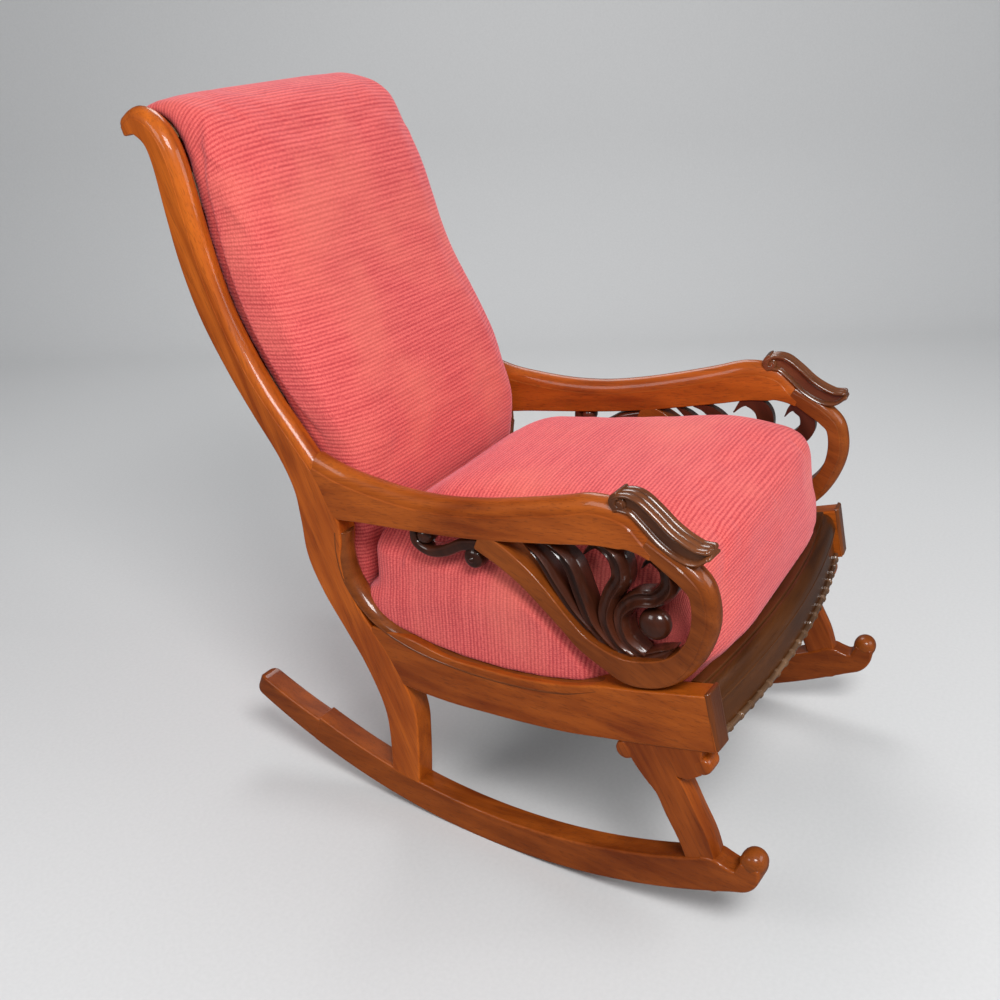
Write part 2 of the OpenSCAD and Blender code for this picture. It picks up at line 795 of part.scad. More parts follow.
// The seat reaches forward over the moulding once it stands above the front rail
rail_land = apron_t + moulding_lip - moulding_d;
function front_at(z) = z < front_top.y + web_t ? well_front : well_front - rail_land;
function seat_outline(z, inset = 0) = [
    for (i = [0 : seat_points - 1])
        let (
            a = 360 * (i + 0.5) / seat_points,
            cx = signed_power(cos(a), corner_power),
            cy = signed_power(sin(a), corner_power),
            y0 = front_at(z) + apron_bow + soft_gap + inset,
            y1 = rear_at(z) - inset,
            y = (y0 + y1) / 2 + cy * (y1 - y0) / 2 - max(-cy, 0) * apron_bow * (1 - cx * cx),
            w = seat_world(y, z),
            x = (half_gap(w.x, w.y) - soft_gap - inset) * cx
        )
        [x, y]
];
function raised(outline, z) = [for (p = outline) [p.x, p.y, z]];
dome_power = 2.8;
dome_rings = 9;
seat_mid_y = (well_front - rail_land + seat_rear) / 2;
function dome_ring(k) =
    let (
        a = 90 * k / dome_rings,
        r = pow(cos(a), 2 / dome_power),
        z = shoulder_z + crown_h * pow(sin(a), 2 / dome_power)
    )
    [for (p = seat_outline(shoulder_z)) [p.x * r, seat_mid_y + (p.y - seat_mid_y) * r, z]];
module seat_pad() {
    ceiling = spring_top + cloth_t + soft_gap;
    rings = concat(
        [
            for (z = [ceiling, seat_base])
                raised(seat_outline(seat_base, well_inset), z)
        ],
        [
            for (z = [seat_base, rear_top.y, rear_top.y + 3 * web_t, front_top.y + soft_gap,
                front_top.y + 3 * web_t, rear_top.y + tail_h - web_t, rear_top.y + tail_h + web_t,
                mix(rear_top.y + tail_h, shoulder_z, 0.5)])
                raised(seat_outline(z), z)
        ],
        [for (k = [0 : dome_rings - 1]) dome_ring(k)]
    );
    color("indianred")
        seat_frame()
            skin(rings, [0, (well_front + well_rear) / 2, ceiling],
                [0, seat_mid_y, shoulder_z + crown_h]);
}

// Back pad: its front, at the same stretches of the stile's path as its rear
back_front_shares = [
    [0.905, 0.984], [0.882, 0.999], [0.843, 1.004], [0.786, 0.988], [0.730, 0.899],
    [0.693, 0.813], [0.665, 0.747], [0.630, 0.686], [0.600, 0.628], [0.578, 0.571],
    [0.564, 0.513], [0.568, 0.457], [0.575, 0.407], [0.581, 0.356]
];
pad_steps = 3;
pad_points = 22;
pad_corner_power = 0.3;
back_pad_front = curve([for (s = back_front_shares) place(s)], pad_steps);
function pad_rear(k) = back_at(k * steps / pad_steps, web_front + soft_gap);
function pad_front(k) = upright(back_pad_front[k]);
function back_ring(k) =
    let (g = pad_rear(k), f = pad_front(k))
    [for (i = [0 : pad_points - 1])
        let (
            a = 180 * i / (pad_points - 1),
            p = g + (f - g) * pow(sin(a), pad_corner_power),
            x = (half_gap(p.x, p.y) - soft_gap) * signed_power(cos(a), pad_corner_power)
        )
        [x, p.x, p.y]];
// Place on the line from the pad's front to its rear, this deep under the front
function pad_under(k, depth) =
    let (run = pad_rear(k) - pad_front(k))
    pad_front(k) + run / norm(run) * depth;
well_run = [3 * pad_steps + 1, 10 * pad_steps + 1];
hessian_depth = pad_wall + soft_gap;
back_spring_depth = hessian_depth + cloth_t + soft_gap;
back_well = concat(
    [for (k = [well_run[0] : well_run[1]]) back_at(k * steps / pad_steps, back_front)],
    [for (k = [well_run[1] : -1 : well_run[0]]) pad_under(k, pad_wall)]
);
hessian_outline = concat(
    [for (k = [well_run[0] : well_run[1]]) pad_under(k, hessian_depth + cloth_t)],
    [for (k = [well_run[1] : -1 : well_run[0]]) pad_under(k, hessian_depth)]
);
module back_pad() {
    rings = [for (k = [0 : pad_last * pad_steps]) back_ring(k)];
    color("indianred")
        difference() {
            skin(rings, mid_of(rings[0]), mid_of(rings[len(rings) - 1]));
            across(back_well, pad_wall);
        }
}
module back_hessian() {
    color("burlywood")
        across(hessian_outline, pad_wall + soft_gap);
}
// Places of the back springs along the pad, and their reach to each side
back_spring_rows = [5 * pad_steps, 6 * pad_steps + 2, 8 * pad_steps + 1];
back_spring_share = 0.42;
module back_springs() {
    color("gray")
        for (k = back_spring_rows)
            for (side = [-1, 1])
                let (base = pad_rear(k), run = pad_under(k, back_spring_depth) - base)
                translate([side * half_gap(base.x, base.y) * back_spring_share, base.x, base.y])
                    rotate([atan2(-run.x, run.y), 0, 0])
                        spring(norm(run), back_spring_r, back_spring_turns);
}
module frame_dowels() {
    color("burlywood") {
        left_side() side_dowels();
        right_side() side_dowels();
    }
}

// The chair stands with the middle of its depth over the origin
front_end = upright(runner_scroll).x - runner_scroll_r;
rear_end = max(
    max([for (p = band(stile_path)) upright(p).x]) + frame_t / 2 * sin(taper_angle),
    max([for (p = back_pad_front) upright(p).x])
);
module standing() {
    translate([0, -(front_end + rear_end) / 2, 0])
        children();
}

standing() stile_right();
standing() stile_left();
standing() side_rail_right();
standing() side_rail_left();
standing() arm_rail_right();
standing() arm_rail_left();
standing() arm_cap_right();
standing() arm_cap_left();
standing() arm_scroll_right();
standing() arm_scroll_left();
standing() arm_carving_right();
standing() arm_carving_left();
standing() front_block_right();
standing() front_block_left();
standing() front_leg_right();
standing() front_leg_left();
standing() runner_right();
standing() runner_left();
standing() front_rail();
standing() front_moulding();
standing() front_beading();
standing() rear_rail();
standing() crest_rail();
standing() lower_back_rail();
standing() front_corner_blocks();
standing() rear_corner_blocks();
standing() frame_dowels();
standing() seat_webbing();
standing() seat_springs();
standing() seat_hessian();
standing() seat_pad();
standing() bottom_cloth();
standing() back_webbing();
standing() back_springs();
standing() back_hessian();
standing() back_pad();
standing() outside_back();
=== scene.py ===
import json
from math import asin, cos, pi, radians, sin, tan

import bmesh
import bpy
import numpy as np
from mathutils import Matrix, Vector


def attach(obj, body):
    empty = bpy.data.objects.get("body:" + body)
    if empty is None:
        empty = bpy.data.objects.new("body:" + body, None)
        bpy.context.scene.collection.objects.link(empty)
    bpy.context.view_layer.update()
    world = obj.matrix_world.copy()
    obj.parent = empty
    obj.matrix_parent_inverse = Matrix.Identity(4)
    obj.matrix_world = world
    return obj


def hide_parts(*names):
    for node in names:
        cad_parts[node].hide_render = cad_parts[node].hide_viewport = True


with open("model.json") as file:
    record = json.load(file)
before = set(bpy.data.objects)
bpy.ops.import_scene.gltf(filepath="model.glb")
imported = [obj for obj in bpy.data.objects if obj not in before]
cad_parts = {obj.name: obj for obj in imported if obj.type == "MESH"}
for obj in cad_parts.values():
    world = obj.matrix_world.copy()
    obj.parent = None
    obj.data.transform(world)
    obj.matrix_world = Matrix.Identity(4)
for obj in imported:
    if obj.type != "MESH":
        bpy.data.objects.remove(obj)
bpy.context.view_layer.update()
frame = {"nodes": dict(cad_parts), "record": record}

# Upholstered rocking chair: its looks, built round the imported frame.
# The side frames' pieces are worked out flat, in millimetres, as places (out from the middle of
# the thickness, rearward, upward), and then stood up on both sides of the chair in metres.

# Sizes of the frame in millimetres; how far its sides close in and lean out, and its front tilts
FRONT_W, FRAME_D, FRAME_H, FRAME_T = 588.0, 952.0, 984.0, 34.0
TAPER, LEAN, FRONT_TILT = radians(5.5), radians(1.8), radians(12)
# Height at which FRONT_W is measured, and the chair's middle behind the frame's front
WIDTH_Z, MIDDLE_Y = FRAME_H * 0.48, 398.979
# Depths of the timbers where their share is 1
STILE_W, RAIL_W, ARM_W, SCROLL_W, LEG_W, CAP_T, LEAF_W = 46.0, 78.0, 60.0, 29.0, 46.0, 27.0, 20.0
# Radius and depth of the runners, and the depth of the flat under each
RUNNER_R, RUNNER_W, WEAR_D = 890.0, 50.0, 1.2
# Rise of the front rail's bow, and its crown in front of the line between the blocks
BOW_RISE, BOW_FRONT = 26.0, 21.8

# Shares of FRAME_D and FRAME_H, and of each timber's own depth
STILE = [
    (0.907, 0.976, 0.58), (0.883, 0.982, 0.76), (0.855, 0.966, 0.82), (0.839, 0.933, 0.91),
    (0.827, 0.869, 1.00), (0.814, 0.804, 1.04), (0.792, 0.737, 1.02), (0.757, 0.671, 0.98),
    (0.718, 0.614, 1.00), (0.676, 0.561, 1.12), (0.644, 0.509, 1.40), (0.632, 0.456, 1.58),
    (0.632, 0.404, 1.42), (0.616, 0.354, 1.18), (0.585, 0.305, 1.12), (0.548, 0.254, 1.26),
    (0.517, 0.189, 1.33), (0.512, 0.130, 1.20), (0.517, 0.041, 1.13)]
RAIL = [
    (0.556, 0.276, 0.94), (0.494, 0.270, 1.10), (0.423, 0.264, 0.99), (0.353, 0.267, 0.93),
    (0.286, 0.273, 0.92), (0.222, 0.283, 0.95), (0.168, 0.296, 0.99), (0.109, 0.308, 0.99),
    (0.004, 0.333, 1.00)]
ARM = [
    (0.640, 0.518, 1.40), (0.600, 0.510, 1.30), (0.553, 0.509, 1.10), (0.480, 0.510, 0.90),
    (0.412, 0.515, 0.83), (0.346, 0.525, 0.85), (0.284, 0.538, 0.89), (0.224, 0.552, 0.95),
    (0.179, 0.563, 1.00), (0.138, 0.563, 0.90), (0.113, 0.554, 0.62), (0.095, 0.545, 0.48)]
CAP = [
    (0.028, 0.554, 0.50), (0.043, 0.549, 0.86), (0.060, 0.552, 1.00), (0.082, 0.563, 1.03),
    (0.105, 0.581, 1.00), (0.124, 0.594, 0.93), (0.141, 0.595, 0.86), (0.151, 0.590, 0.66)]
SCROLL = [
    (0.105, 0.552, 0.90), (0.074, 0.535, 1.00), (0.050, 0.520, 1.00), (0.033, 0.502, 0.98),
    (0.027, 0.467, 1.03), (0.035, 0.431, 1.00), (0.055, 0.400, 1.10), (0.083, 0.380, 1.25),
    (0.124, 0.369, 1.25), (0.159, 0.376, 0.95), (0.194, 0.391, 0.80), (0.218, 0.410, 0.76),
    (0.248, 0.436, 0.88), (0.279, 0.461, 0.98), (0.315, 0.482, 1.05), (0.350, 0.497, 1.05)]
TAIL = [
    (0.345, 0.490, 0.60), (0.383, 0.480, 0.62), (0.412, 0.464, 0.60), (0.439, 0.457, 0.52),
    (0.461, 0.465, 0.50), (0.465, 0.482, 0.42), (0.461, 0.494, 0.42)]
LEG = [
    (0.113, 0.285, 1.30), (0.101, 0.256, 1.20), (0.086, 0.233, 1.08), (0.066, 0.210, 1.00),
    (0.049, 0.178, 1.00), (0.030, 0.144, 0.98), (0.017, 0.110, 0.92)]
KNEE = [(0.022, 0.290), (0.090, 0.290), (0.075, 0.235), (0.040, 0.236), (0.022, 0.250)]
LEAVES = [
    [(0.290, 0.508, 0.50), (0.262, 0.490, 0.65), (0.236, 0.458, 0.75), (0.208, 0.424, 0.75),
     (0.176, 0.396, 0.70)],
    [(0.262, 0.514, 0.50), (0.240, 0.510, 0.70), (0.216, 0.492, 0.90), (0.200, 0.456, 0.95),
     (0.182, 0.416, 0.85), (0.154, 0.388, 0.70)],
    [(0.196, 0.512, 0.40), (0.178, 0.530, 0.75), (0.152, 0.520, 1.00), (0.144, 0.494, 1.00),
     (0.158, 0.464, 0.95), (0.164, 0.432, 0.90), (0.150, 0.402, 0.80), (0.128, 0.386, 0.70)],
    [(0.114, 0.514, 0.35), (0.103, 0.528, 0.75), (0.083, 0.520, 0.95), (0.078, 0.498, 1.00),
     (0.094, 0.478, 1.00), (0.122, 0.468, 0.95), (0.142, 0.444, 0.90), (0.136, 0.412, 0.85),
     (0.112, 0.392, 0.80)]]
# Short leaf under the boss
SPUR = [(0.070, 0.414, 0.35), (0.083, 0.403, 0.8), (0.104, 0.391, 0.95), (0.126, 0.384, 0.7)]
BACK_FRONT = [
    (0.926, 0.984), (0.910, 0.998), (0.882, 1.007), (0.840, 1.011), (0.782, 0.990),
    (0.727, 0.899), (0.694, 0.813), (0.668, 0.748), (0.633, 0.688), (0.602, 0.629),
    (0.579, 0.571), (0.563, 0.513), (0.568, 0.457), (0.575, 0.407), (0.581, 0.360),
    (0.586, 0.341)]
# In millimetres: inner line of the rounded lip, down the front of the stile and along the rail
LIP = [
    (561, 440), (563, 413), (559, 383), (551, 364), (539, 348), (521, 331), (500, 319),
    (476, 310), (437, 302), (378, 298), (313, 300), (250, 308), (198, 320), (163, 330), (138, 333)]
# In millimetres: line under the scroll and the arm, above the seat's side
ROOF = [
    (60, 345), (118, 345), (151, 354), (185, 370), (207, 388), (236, 412), (266, 436),
    (300, 456), (333, 462), (420, 455), (560, 455)]


# Flat curves and sections
def sized(shares, depth=1.0):
    """Shares as millimetres: rearward, upward and, where it stands, the timber's depth."""
    table = np.asarray(shares, float)
    return table * [FRAME_D, FRAME_H, depth][:table.shape[1]]


def curve(points, n=8):
    """Smooth curve through points, each stretch the cubic (2b + (c-a)t + (2a-5b+4c-d)t^2
    + (3b-a-3c+d)t^3) / 2 of its two ends b, c and their neighbours a, d."""
    p = np.asarray(points, float)
    p = np.vstack([p[:1], p, p[-1:]])
    a, b, c, d = (p[k:len(p) - 3 + k, None] for k in range(4))
    t = np.linspace(0, 1, n, endpoint=False)[None, :, None]
    q = (2 * b + (c - a) * t + (2 * a - 5 * b + 4 * c - d) * t ** 2
         + (3 * b - a - 3 * c + d) * t ** 3) / 2
    return np.vstack([q.reshape(-1, p.shape[1]), p[-1:]])


def normals(path):
    """Unit normals of a flat path: its direction turned a quarter turn to the left."""
    d = np.gradient(path[:, :2], axis=0)
    d /= np.linalg.norm(d, axis=1)[:, None]
    return np.stack([-d[:, 1], d[:, 0]], 1)


def along(path):
    """Share of a path's length at each of its points."""
    step = np.linalg.norm(np.diff(path[:, :2], axis=0), axis=1)
    s = np.concatenate([[0], np.cumsum(step)])
    return s / s[-1]


def corner(share, way, half, deep, wide, n=7):
    """Quarter of an ellipse from the side face round to the edge, as rows of (share of half the
    depth, millimetres added, millimetres out, rubbing and painted highlight)."""
    a = np.linspace(0, pi / 2, n)
    return np.stack([np.full(n, share), -share * deep * (1 - np.sin(a)),
                     way * (half - wide * (1 - np.cos(a))), np.sin(2 * a) ** 0.5], 1)


def section(t, front, rear, quirk=0.0):
    """Closed timber section of thickness t: two rear corners and two front corners of given
    (depth, width), the front ones stepped in by a quirk."""
    h = t / 2
    step = np.array([[-1, front[0] + quirk, h, 0.4]])
    other = step * [1, 1, -1, 1]
    return np.vstack([corner(1, 1, h, *rear)[::-1], step, corner(-1, 1, h - quirk, *front),
                      corner(-1, -1, h - quirk, *front)[::-1], other, corner(1, -1, h, *rear)])


def set_back(rows, by):
    """Section with its front or upper face set back."""
    moved = rows.copy()
    moved[rows[:, 0] < 0, 1] += by
    return moved


def rounded_ends(grid, first, last, n=5):
    """Adds rings at both ends: each is the end ring drawn to its middle by r (1 - cos a) and
    pushed outwards by r sin a."""
    a = np.linspace(0, pi / 2, n + 1)[1:, None, None]

    def rings(end, inner, r):
        mid, way = end[:, :3].mean(0), end[:, :3].mean(0) - inner[:, :3].mean(0)
        to_mid = mid - end[:, :3]
        far = np.linalg.norm(to_mid, axis=1)[:, None]
        pull = np.minimum(r * (1 - np.cos(a)) / np.maximum(far, 1e-6), 0.92)
        place = end[None, :, :3] + to_mid * pull + way / np.linalg.norm(way) * r * np.sin(a)
        return np.concatenate([place, np.full(place.shape[:2] + (1,), 0.7)], -1)

    return np.concatenate([rings(grid[0], grid[1], first)[::-1], grid,
                           rings(grid[-1], grid[-2], last)])


def swept(path, sections, ends=(2.0, 2.0)):
    """Timber along a flat path: place = path + normal * (share * depth / 2 + added)."""
    s = np.broadcast_to(sections, (len(path),) + np.shape(sections)[-2:])
    by = s[..., 0] * path[:, None, 2] / 2 + s[..., 1]
    place = path[:, None, :2] + normals(path)[:, None] * by[..., None]
    return rounded_ends(np.concatenate([s[..., 2:3], place, s[..., 3:4]], -1), *ends)


def inset(outline, by):
    """Closed outline drawn in by a distance along its corners' mitres."""
    e = np.roll(outline, -1, 0) - outline
    e /= np.maximum(np.linalg.norm(e, axis=1), 1e-9)[:, None]
    turn = np.sign(np.sum(outline[:, 0] * np.roll(outline[:, 1], -1)
                          - outline[:, 1] * np.roll(outline[:, 0], -1)))
    n = np.stack([-e[:, 1], e[:, 0]], 1) * turn
    both = n + np.roll(n, 1, 0)
    return outline + by * both / np.maximum((both ** 2).sum(1) / 2, 0.6)[:, None]


def board(outline, t, r, n=4):
    """Sawn board: the outline at t/2 - r (1 - cos a) to each side, drawn in by r (1 - sin a)."""
    a = np.linspace(0, pi / 2, n)
    out = t / 2 - r * (1 - np.cos(a))
    a, out = np.concatenate([a, a[::-1]]), np.concatenate([out, -out[::-1]])
    rings = np.stack([inset(outline, d) for d in r * (1 - np.sin(a))])
    # The rounded rim is lighter: rubbing, and painted highlight.
    out, rim_rubbing_and_highlight = (np.broadcast_to(v[:, None, None], rings.shape[:2] + (1,))
                 for v in (out, np.sin(2 * a)))
    return np.concatenate([out, rings, rim_rubbing_and_highlight], -1)


def knob(centre, r, half, power=2.6, n=28, m=20):
    """Turned knob on an axis across the frame: radius r (1 - |x / half|^power)^(1 / power)."""
    x = np.cos(np.linspace(0.02, pi - 0.02, m))
    ring = r * (1 - np.abs(x) ** power) ** (1 / power)
    a = np.linspace(0, 2 * pi, n, endpoint=False)
    return np.stack(np.broadcast_arrays(
        (x * half)[:, None], centre[0] + ring[:, None] * np.cos(a),
        centre[1] + ring[:, None] * np.sin(a), 0.6), -1)


# From the flat side frame to the chair
def upright(p):
    """Flat side-frame places as the chair's (y, z), seen from the side."""
    p = np.asarray(p, float)
    return np.stack([p[..., 0] * cos(TAPER)
                     + (p[..., 1] - WIDTH_Z) * sin(LEAN) * sin(TAPER),
                     WIDTH_Z + (p[..., 1] - WIDTH_Z) * cos(LEAN)], -1)


def half_gap(y, z):
    """Half of the clear width between the side frames at a place seen from the side."""
    return (FRONT_W / 2 - y * tan(TAPER) + (z - WIDTH_Z) * tan(LEAN) / cos(TAPER)
            - FRAME_T / 2 / cos(LEAN) / cos(TAPER))


def stood(grid, way):
    """Flat grid leaned out, turned in and moved to its side: 1 is the sitter's left, -1 right."""
    x, u, v = grid[..., 0], grid[..., 1], grid[..., 2] - WIDTH_Z
    out = x * cos(LEAN) + v * sin(LEAN)
    up = v * cos(LEAN) - x * sin(LEAN)
    return chair(np.stack([way * (FRONT_W / 2 + out * cos(TAPER) - u * sin(TAPER)),
                           out * sin(TAPER) + u * cos(TAPER), up + WIDTH_Z], -1))


def chair(p):
    """The source's millimetres as the row frame's metres."""
    return (np.asarray(p, float) - [0, MIDDLE_Y, 0]) / 1000


# Meshes
def skin(grid):
    """Quads between neighbouring rings and round each ring, and one face over each end."""
    n, m = grid.shape[:2]
    i = np.arange(n * m).reshape(n, m)
    a, b = i[:-1], i[1:]
    quads = np.stack([a, np.roll(a, -1, 1), np.roll(b, -1, 1), b], -1).reshape(-1, 4)
    return quads.tolist() + [i[0][::-1].tolist(), i[-1].tolist()]


def piece(name, skins, material, slot, sharp=32, weighted=True):
    """One mesh of several closed skins (places, rubbing and painted highlight, faces), its
    normals turned outwards.
    """
    mesh = bpy.data.meshes.new(name)
    first, all_faces = 0, []
    for places, _, faces in skins:
        all_faces += [[k + first for k in f] for f in faces]
        first += len(places)
    mesh.from_pydata(np.vstack([s[0] for s in skins]).tolist(), [], all_faces)
    bm = bmesh.new()
    bm.from_mesh(mesh)
    bmesh.ops.triangulate(bm, faces=[f for f in bm.faces if len(f.verts) > 4],
                          ngon_method="EAR_CLIP")
    bmesh.ops.recalc_face_normals(bm, faces=bm.faces)
    bm.to_mesh(mesh)
    bm.free()
    # Share that lightens the timber: rubbing on edges, and painted highlight on rounded edges,
    # reed crests, beads and rings.
    worn = mesh.attributes.new("worn", "FLOAT", "POINT")
    worn.data.foreach_set("value", np.concatenate([s[1] for s in skins]).astype(np.float32))
    mesh.shade_smooth()
    mesh.set_sharp_from_angle(angle=radians(sharp))
    mesh.materials.append(material)
    obj = bpy.data.objects.new(name, mesh)
    bpy.context.scene.collection.objects.link(obj)
    if weighted:
        weigh = obj.modifiers.new("even shading", "WEIGHTED_NORMAL")
        weigh.keep_sharp = True
    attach(obj, "root")
    return obj


def both_sides(name, grids, material, slot, nodes, floor=False, **how):
    """A side frame's piece on the sitter's right and left, standing for nodes of that side, and
    kept above the floor where its flat is rubbed in."""
    for way, word in ((-1, "right"), (1, "left")):
        skins = [(stood(g[..., :3], way).reshape(-1, 3), g[..., 3].ravel(), skin(g))
                 for g in grids]
        if floor:
            for places, _, _ in skins:
                places[:, 2] = np.maximum(places[:, 2], 0)
        obj = piece(f"{word}_{name}", skins, material, slot, **how)
        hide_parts(*[f"{n}_{word}" for n in nodes])


# Shaders
def node_group(name, inputs, outputs):
    """Empty shader group with named sockets, and its input and output nodes."""
    group = bpy.data.node_groups.new(name, "ShaderNodeTree")
    for label, kind, value in inputs:
        socket = group.interface.new_socket(label, in_out="INPUT", socket_type=kind)
        if value is not None:
            socket.default_value = value
    for label, kind in outputs:
        group.interface.new_socket(label, in_out="OUTPUT", socket_type=kind)
    return group, group.nodes.new("NodeGroupInput"), group.nodes.new("NodeGroupOutput")


class Graph:
    """Short words for adding and joining nodes in one tree; an input goes by its name, or by
    an i and its number."""

    def __init__(self, tree):
        self.tree = tree

    def add(self, kind, settings=(), **sockets):
        node = self.tree.nodes.new("ShaderNode" + kind)
        for key, value in dict(settings).items():
            setattr(node, key, value)
        for key, value in sockets.items():
            self.join(value, node.inputs[int(key[1:]) if key[1:].isdigit() else
                                         key.replace("_", " ")])
        return node

    def join(self, value, socket):
        if isinstance(value, bpy.types.NodeSocket):
            self.tree.links.new(value, socket)
        else:
            socket.default_value = value

    def math(self, operation, a, b=0.0, c=0.0):
        return self.add("Math", {"operation": operation}, i0=a, i1=b, i2=c).outputs[0]

    def plus(self, a, b):
        return self.math("ADD", a, b)

    def times(self, a, b):
        return self.math("MULTIPLY", a, b)

    def fitted(self, a, by=0.5, plus=0.5):
        return self.math("MULTIPLY_ADD", a, by, plus)

    def scaled(self, vector, by):
        return self.add("VectorMath", {"operation": "MULTIPLY"}, i0=vector, i1=by).outputs[0]

    def noise(self, vector, detail=3.0, rough=0.5):
        return self.add("TexNoise", i0=vector, Scale=1.0, Detail=detail,
                        Roughness=rough).outputs["Fac"]

    def range(self, value, low, high, to_low=0.0, to_high=1.0):
        return self.add("MapRange", {"interpolation_type": "SMOOTHSTEP"}, i0=value, i1=low,
                        i2=high, i3=to_low, i4=to_high).outputs[0]

    def mix(self, share, a, b):
        node = self.tree.nodes.new("ShaderNodeMix")
        node.data_type = "RGBA"
        for value, socket in ((share, node.inputs[0]), (a, node.inputs[6]), (b, node.inputs[7])):
            self.join(value, socket)
        return node.outputs[2]


def blank(name):
    """New material, the words for joining its nodes, and its shader."""
    material = bpy.data.materials.new(name)
    material.use_nodes = True
    tree = material.node_tree
    return material, Graph(tree), tree.nodes["Principled BSDF"]


def fixed(shader, **values):
    """Gives a shader's sockets plain values."""
    for key, value in values.items():
        shader.inputs[key.replace("_", " ")].default_value = value


def grain_group():
    """Polished timber: long figure, rings and pores along Y of the vector, and edges lightened
    by rubbing and by painted highlight.
    """
    group, given, made = node_group(
        "polished grain",
        [("Vector", "NodeSocketVector", None), ("Dark", "NodeSocketColor", None),
         ("Light", "NodeSocketColor", None), ("Worn", "NodeSocketFloat", 0.0)],
        [("Color", "NodeSocketColor"), ("Roughness", "NodeSocketFloat"),
         ("Height", "NodeSocketFloat")])
    g = Graph(group)
    at = given.outputs["Vector"]
    figure = g.noise(g.scaled(at, (60, 3.0, 60)), 5.0, 0.6)
    swirl = g.noise(g.scaled(at, (13, 1.6, 13)), 2.0)
    rings = g.math("SINE", g.times(swirl, 55.0))
    pores = g.noise(g.scaled(at, (700, 26, 700)), 2.0)
    patches = g.noise(g.scaled(at, (9, 5, 9)), 2.0)
    tone = g.plus(g.range(figure, 0.2, 0.8, 0.12, 0.8), g.times(rings, 0.08))
    tone = g.plus(tone, g.range(patches, 0.3, 0.7, -0.35, 0.25))
    # Lifted tone: rubbed edges, and painted highlight.
    tone = g.plus(tone, g.times(given.outputs["Worn"], 0.25))
    tone = g.add("Clamp", i0=tone).outputs[0]
    colour = g.mix(tone, given.outputs["Dark"], given.outputs["Light"])
    line = g.range(pores, 0.34, 0.46, 1.0, 0.0)
    dark = g.mix(g.times(line, 0.28), colour, (0.03, 0.008, 0.003, 1))
    g.join(dark, made.inputs["Color"])
    g.join(g.range(figure, 0.2, 0.8, 0.30, 0.42), made.inputs["Roughness"])
    g.join(g.plus(g.times(line, -0.6), g.times(figure, 0.25)), made.inputs["Height"])
    return group


def wood(name, dark, light, lean=0.0, turn=0.0, coat=0.4, rough_coat=0.07):
    """Polished timber whose grain leans up from the chair's depth by an angle, or is turned
    to run across."""
    material, g, shader = blank(name)
    place = g.add("Mapping", i0=g.add("TexCoord").outputs["Object"], i1=(0.31, 0.17, 0.05),
                  i2=(-radians(lean), 0.0, radians(turn)))
    worn = g.add("Attribute", {"attribute_name": "worn"}).outputs["Fac"]
    grain = g.add("Group", {"node_tree": GRAIN}, Vector=place.outputs[0], Dark=dark + (1,),
                  Light=light + (1,), Worn=worn)
    g.join(grain.outputs["Color"], shader.inputs["Base Color"])
    g.join(grain.outputs["Roughness"], shader.inputs["Roughness"])
    bump = g.add("Bump", Height=grain.outputs["Height"], Strength=0.25, Distance=0.0006)
    g.join(bump.outputs[0], shader.inputs["Normal"])
    fixed(shader, Coat_Weight=coat, Coat_Roughness=rough_coat, Specular_IOR_Level=0.15)
    return material


def weave_group():
    """Over-and-under weave: height = (sin across * sin down + 1) / 2, dusted over by a noise."""
    group, given, made = node_group(
        "plain weave",
        [("Vector", "NodeSocketVector", None), ("Pitch", "NodeSocketFloat", 0.002),
         ("Thread", "NodeSocketColor", None), ("Gap", "NodeSocketColor", None)],
        [("Color", "NodeSocketColor"), ("Height", "NodeSocketFloat")])
    g = Graph(group)
    at = g.add("SeparateXYZ", i0=given.outputs["Vector"])
    turn = g.math("DIVIDE", 2 * pi, given.outputs["Pitch"])
    across, down = (g.math("SINE", g.times(way, turn))
                    for way in (at.outputs[0], g.plus(at.outputs[1], at.outputs[2])))
    height = g.fitted(g.times(across, down))
    dust = g.noise(g.scaled(given.outputs["Vector"], (40, 40, 40)))
    tone = g.plus(g.times(height, 0.6), g.times(dust, 0.4))
    # Gaps between the threads take the darker colour: painted shade.
    g.join(g.mix(tone, given.outputs["Gap"], given.outputs["Thread"]), made.inputs["Color"])
    g.join(height, made.inputs["Height"])
    return group


def plain_weave(name, colour, pitch):
    """Hidden cloth or webbing of one colour, its weave at a pitch in metres."""
    material, g, shader = blank(name)
    # Gap colour is the thread's darkened: painted shade between threads.
    weave = g.add("Group", {"node_tree": WEAVE}, Vector=g.add("TexCoord").outputs["Object"],
                  Pitch=pitch, Thread=colour + (1,),
                  Gap=tuple(c * 0.55 for c in colour) + (1,))
    g.join(weave.outputs["Color"], shader.inputs["Base Color"])
    bump = g.add("Bump", Height=weave.outputs["Height"], Strength=0.4, Distance=0.0004)
    g.join(bump.outputs[0], shader.inputs["Normal"])
    fixed(shader, Roughness=0.9)
    return material


